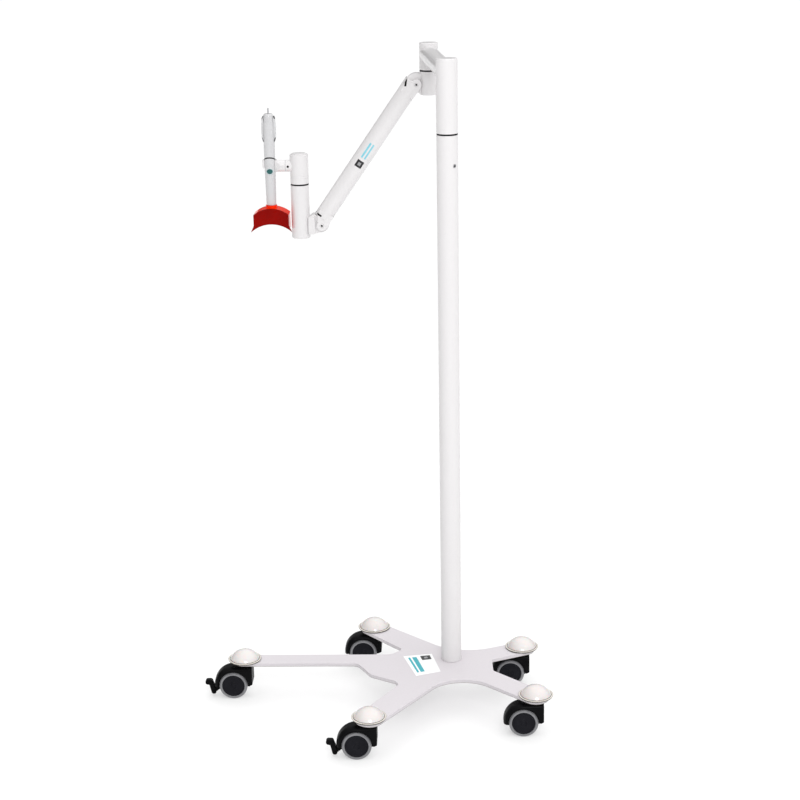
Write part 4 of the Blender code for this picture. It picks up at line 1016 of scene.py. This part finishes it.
def lamp_shape(name):
    """The handpiece's whole outer shape, before the seam parts it."""
    profile = rounded([
        (0, LAMP_TOP, 0), (8.6, LAMP_TOP, 1.4), (10.7, LAMP_TOP - 4, 5), (12.0, LAMP_TOP - 20, 20), (LAMP_R, 1140, 30),
        (LAMP_R - 0.2, SEAM_Z, 0), (LAMP_R - 0.2, 1074, 30), (11.4, 1050, 40), (10.8, 1003.5, 0.8), (9.6, 1002.5, 0),
        (9.6, LAMP_NOSE, 0.5), (0, LAMP_NOSE, 0)], 6)
    return lathe(name, profile, "lamp", LAMP_SPOT)


def seam_block(low, high):
    """A tilted block that keeps the stretch of the lamp between two heights at the seam."""
    tilt = at(*on_lamp(SEAM_Z)) @ Matrix.Rotation(math.radians(-SEAM_TILT), 4, "X")
    return box((-40, -60, low), (40, 60, high), tilt)


def oval(grow, steps=48):
    """The button's outline, made larger by grow."""
    turns = (2 * math.pi * step / steps for step in range(steps))
    return [((6.2 + grow) * math.cos(turn), (4.9 + grow) * math.sin(turn)) for turn in turns]


def lamp():
    tail = keep_inside(lamp_shape("lamp_tail_shell"), seam_block(SEAM_HALF + 0.2, 200))
    cut(tail, bore(1.9, on_lamp(LAMP_TOP - 5), on_lamp(LAMP_TOP + 5)))
    show(tail, "lamp", "lamp_shell", "lamp_tail", soften=0.25)
    seal = lathe("lamp_seam_seal", [(0, 1130), (LAMP_R - 0.5, 1130), (LAMP_R - 0.5, 1070), (0, 1070)],
                 "rubber", LAMP_SPOT)
    show(keep_inside(seal, seam_block(-SEAM_HALF, SEAM_HALF)), "lamp", "black_rubber", "seam_ring")
    body = keep_inside(lamp_shape("lamp_body_shell"), seam_block(-200, -SEAM_HALF - 0.2))
    button_spot = at(*on_lamp(BUTTON_Z))
    cut(
        body,
        slab("pocket", oval(0.35), -20, -9.5, 0, "", button_spot),
        bore(8.4, on_lamp(LAMP_NOSE - 5), on_lamp(LAMP_NOSE + 4)),
    )
    show(body, "lamp", "lamp_shell", "lamp_body", soften=0.25)
    show(rod("lamp_tail_pin", 1.6, on_lamp(LAMP_TOP - 4.6), on_lamp(1212), "steel", edge=0.8),
         "lamp", "steel", "tail_pin")
    top = LAMP_NOSE + 3.6
    lens = rounded([(0, top, 0), (8.1, top, 0.3), (8.1, LAMP_NOSE, 0.2), (5, LAMP_NOSE - 1.4, 4),
                    (0, LAMP_NOSE - 2.0, 0)], 6)
    show(lathe("lamp_lens_glass", lens, "lens", LAMP_SPOT), "lamp", "lens_glass", "lamp_lens")
    side_grip("left", -1)
    side_grip("right", 1)
    button = slab("lamp_button_cap", oval(0), -13.7, -10.6, 0.8, "teal", button_spot, steps=4)
    show(button, "button", "teal_button", "power_button")
    button_rim(button_spot)


def button_rim(spot):
    """Thin pale ring round the button, lying on the casing."""
    shaped = bmesh.new()
    casing_r = LAMP_R - 0.25
    rows = [[shaped.verts.new((x, -(math.sqrt(casing_r ** 2 - x * x) + lift), z)) for x, z in oval(grow, 64)]
            for grow, lift in ((0.5, 0.02), (0.6, 0.16), (1.35, 0.16), (1.5, 0.0))]
    skin(shaped, rows, around=True)
    show(to_object("lamp_button_rim", shaped, "teal_rim", spot), "lamp", "lamp_shell")


def side_grip(tag, side):
    """Long shallow pad on the tail's flank, with dark ends."""
    outline = rounded([(9.0, 1141, 0), (12.6, 1140, 1), (15.2, 1150, 8), (15.8, 1168, 30), (14.8, 1188, 12),
                       (12.2, 1196, 2), (9.0, 1195, 0)], 6)
    pad = slab(f"lamp_grip_{tag}", [(side * x, z) for x, z in outline], -6.5, 6.5, 1.6,
               "lamp ink", LAMP_SPOT, steps=4)
    cut(pad, bore(LAMP_R + GAP, on_lamp(1120), on_lamp(1215), sides=FINE))
    for face in pad.data.polygons:
        height = face.center.z / MM - ORIGIN.z / MM
        face.material_index = 0 if 1146.5 < height < 1190 else 1
    show(pad, "lamp", "lamp_shell", f"side_grip_{tag}")


def guard_outline(half, drop, flare):
    """Side view of the guard: arched top and foot; drop shrinks it, flare spreads the foot's tips."""
    radius = (GUARD_HALF ** 2 + GUARD_TOP_RISE ** 2) / (2 * GUARD_TOP_RISE)
    centre = (0, GUARD_APEX - radius)
    reach = math.degrees(math.asin(half / radius))
    top = arc(centre, radius - drop, 90 - reach, 90 + reach, 40)
    foot_radius = (GUARD_TIP ** 2 + GUARD_FOOT_RISE ** 2) / (2 * GUARD_FOOT_RISE)
    tip = half + flare
    spread = math.degrees(math.asin(tip / foot_radius))
    foot = arc((0, GUARD_FOOT - foot_radius), foot_radius, 90 + spread, 90 - spread, 40)
    if flare:
        foot = [(-half, GUARD_SIDE_FOOT)] + foot + [(half, GUARD_SIDE_FOOT)]
    return top + foot


def guard():
    # the hood and collar take the lighter copy of the red acrylic as painted light; the front face and the hollow's
    # walls take the darker copy, its own red with painted shade
    lit_paint, shaded_paint = "guard_lit", "guard"
    hood = slab("guard_hood", guard_outline(GUARD_HALF, 0, 0), -GUARD_DEPTH, GUARD_DEPTH, 0.8, lit_paint, LAMP_SPOT)
    front = slab("front", guard_outline(GUARD_HALF, 0, GUARD_TIP - GUARD_HALF), -GUARD_DEPTH - 0.2,
                 GUARD_WALL - GUARD_DEPTH - 0.01, 0.5, shaded_paint, LAMP_SPOT)
    inner = guard_outline(GUARD_HALF - GUARD_WALL, GUARD_WALL, 0)
    lowered = [(x, z if z > GUARD_FOOT + 3 else z - 12) for x, z in inner]
    cut(hood, slab("hollow", lowered, GUARD_WALL - GUARD_DEPTH, GUARD_DEPTH - GUARD_WALL, 0, shaded_paint, LAMP_SPOT))
    join(hood, front, rod("collar", 12.6, on_lamp(991), on_lamp(1002.1), lit_paint, edge=0.5, sides=FINE))
    cut(hood, bore(9.9, on_lamp(975), on_lamp(1010), sides=FINE))
    show(hood, "lamp", "red_guard", "light_guard", sharp=30)


# ---- studio

CAMERA_SPOT = (0, -3414.1, 1689.0)
CAMERA_FORWARD = (-0.0282, 0.9571, -0.2883)
CAMERA_RIGHT = (0.9996, 0.0246, -0.016)
CAMERA_LENS = 78.66
FLOOR_PALE = (0.5, 0.5, 0.5)
FLOOR_SHADE = (0.49, 0.49, 0.49)
FLOOR_GLOW = 0.46  # the floor is a softly backlit white sweep
FLOOR_REACH = 150.0  # metres
FLOOR_LEVEL = -0.0003
SKY_LOW, SKY_HIGH = 0.08, 2.1  # brightness at the horizon and overhead
SKY_FLAG = 0.2  # share of it that is left on the far left
KEY_SPOT, KEY_AIM = (0.6, -3.2, 2.5), (-0.05, 0.2, 1.0)  # metres
KEY_SIZE, KEY_POWER = 1.2, 49  # metres, watts


def camera():
    """The viewing angle: high up in front, looking level across the boom."""
    forward = Vector(CAMERA_FORWARD).normalized()
    right = Vector(CAMERA_RIGHT)
    right = (right - forward * right.dot(forward)).normalized()
    up = right.cross(forward)
    data = bpy.data.cameras.new("camera")
    data.lens = CAMERA_LENS
    data.sensor_width = 36.0
    data.clip_end = 500.0
    made = placed("camera", data)
    turn = Matrix((right, up, -forward)).transposed().to_4x4()
    made.matrix_world = Matrix.Translation(ORIGIN + Vector(CAMERA_SPOT) * MM) @ turn
    bpy.context.scene.camera = made


def floor():
    """A pale floor, so large that the camera sees no edge of it."""
    shaped = bmesh.new()
    corners = [(x * FLOOR_REACH, y * FLOOR_REACH, FLOOR_LEVEL) for x, y in ((-1, -1), (1, -1), (1, 1), (-1, 1))]
    shaped.faces.new([shaped.verts.new(corner) for corner in corners])
    mesh = bpy.data.meshes.new("studio_floor")
    shaped.to_mesh(mesh)
    shaped.free()
    material, tree, shader = shader_of("floor_paper", FLOOR_PALE, 0.9, Specular_IOR_Level=0.1,
                                       Emission_Color=(1.0, 1.0, 1.0, 1.0), Emission_Strength=FLOOR_GLOW)
    tint(tree, shader, FLOOR_PALE, FLOOR_SHADE, noise(tree, 3, 2.0))
    mesh.materials.append(material)
    placed("studio_floor", mesh)


def world():
    """Studio surroundings, brighter overhead than at the horizon and dimmed on the left by a dark flag."""
    made = bpy.data.worlds.new("studio")
    bpy.context.scene.world = made
    made.use_nodes = True
    tree = made.node_tree
    tree.nodes.clear()
    place = add(tree, "TexCoord")
    parts = add(tree, "SeparateXYZ")
    ramp = add(tree, "MapRange", {"From Min": -0.1, "From Max": 1.0, "To Min": SKY_LOW, "To Max": SKY_HIGH},
               interpolation_type="SMOOTHSTEP")
    flag = add(tree, "MapRange", {"From Min": -1.0, "From Max": -0.2, "To Min": SKY_FLAG},
               interpolation_type="SMOOTHSTEP")
    both = add(tree, "Math", operation="MULTIPLY")
    sky = add(tree, "Background")
    out = add(tree, "OutputWorld")
    tree.links.new(place.outputs["Generated"], parts.inputs["Vector"])
    tree.links.new(parts.outputs["Z"], ramp.inputs["Value"])
    tree.links.new(parts.outputs["X"], flag.inputs["Value"])
    tree.links.new(ramp.outputs["Result"], both.inputs[0])
    tree.links.new(flag.outputs["Result"], both.inputs[1])
    tree.links.new(both.outputs["Value"], sky.inputs["Strength"])
    tree.links.new(sky.outputs["Background"], out.inputs["Surface"])


def key_light():
    """A soft square light from the front, above the stand."""
    data = bpy.data.lights.new("key", "AREA")
    data.shape = "RECTANGLE"
    data.size = data.size_y = KEY_SIZE
    data.energy = KEY_POWER
    made = placed("key", data)
    made.location = KEY_SPOT
    made.rotation_euler = (Vector(KEY_AIM) - Vector(KEY_SPOT)).to_track_quat("-Z", "Y").to_euler()


make_base()
plate_label()
pole()
boom()
shoulder()
arm()
arm_label()
post()
sleeve()
clip()
lamp()
guard()

camera()
floor()
world()
key_light()
bpy.context.scene.view_settings.view_transform = "Standard"
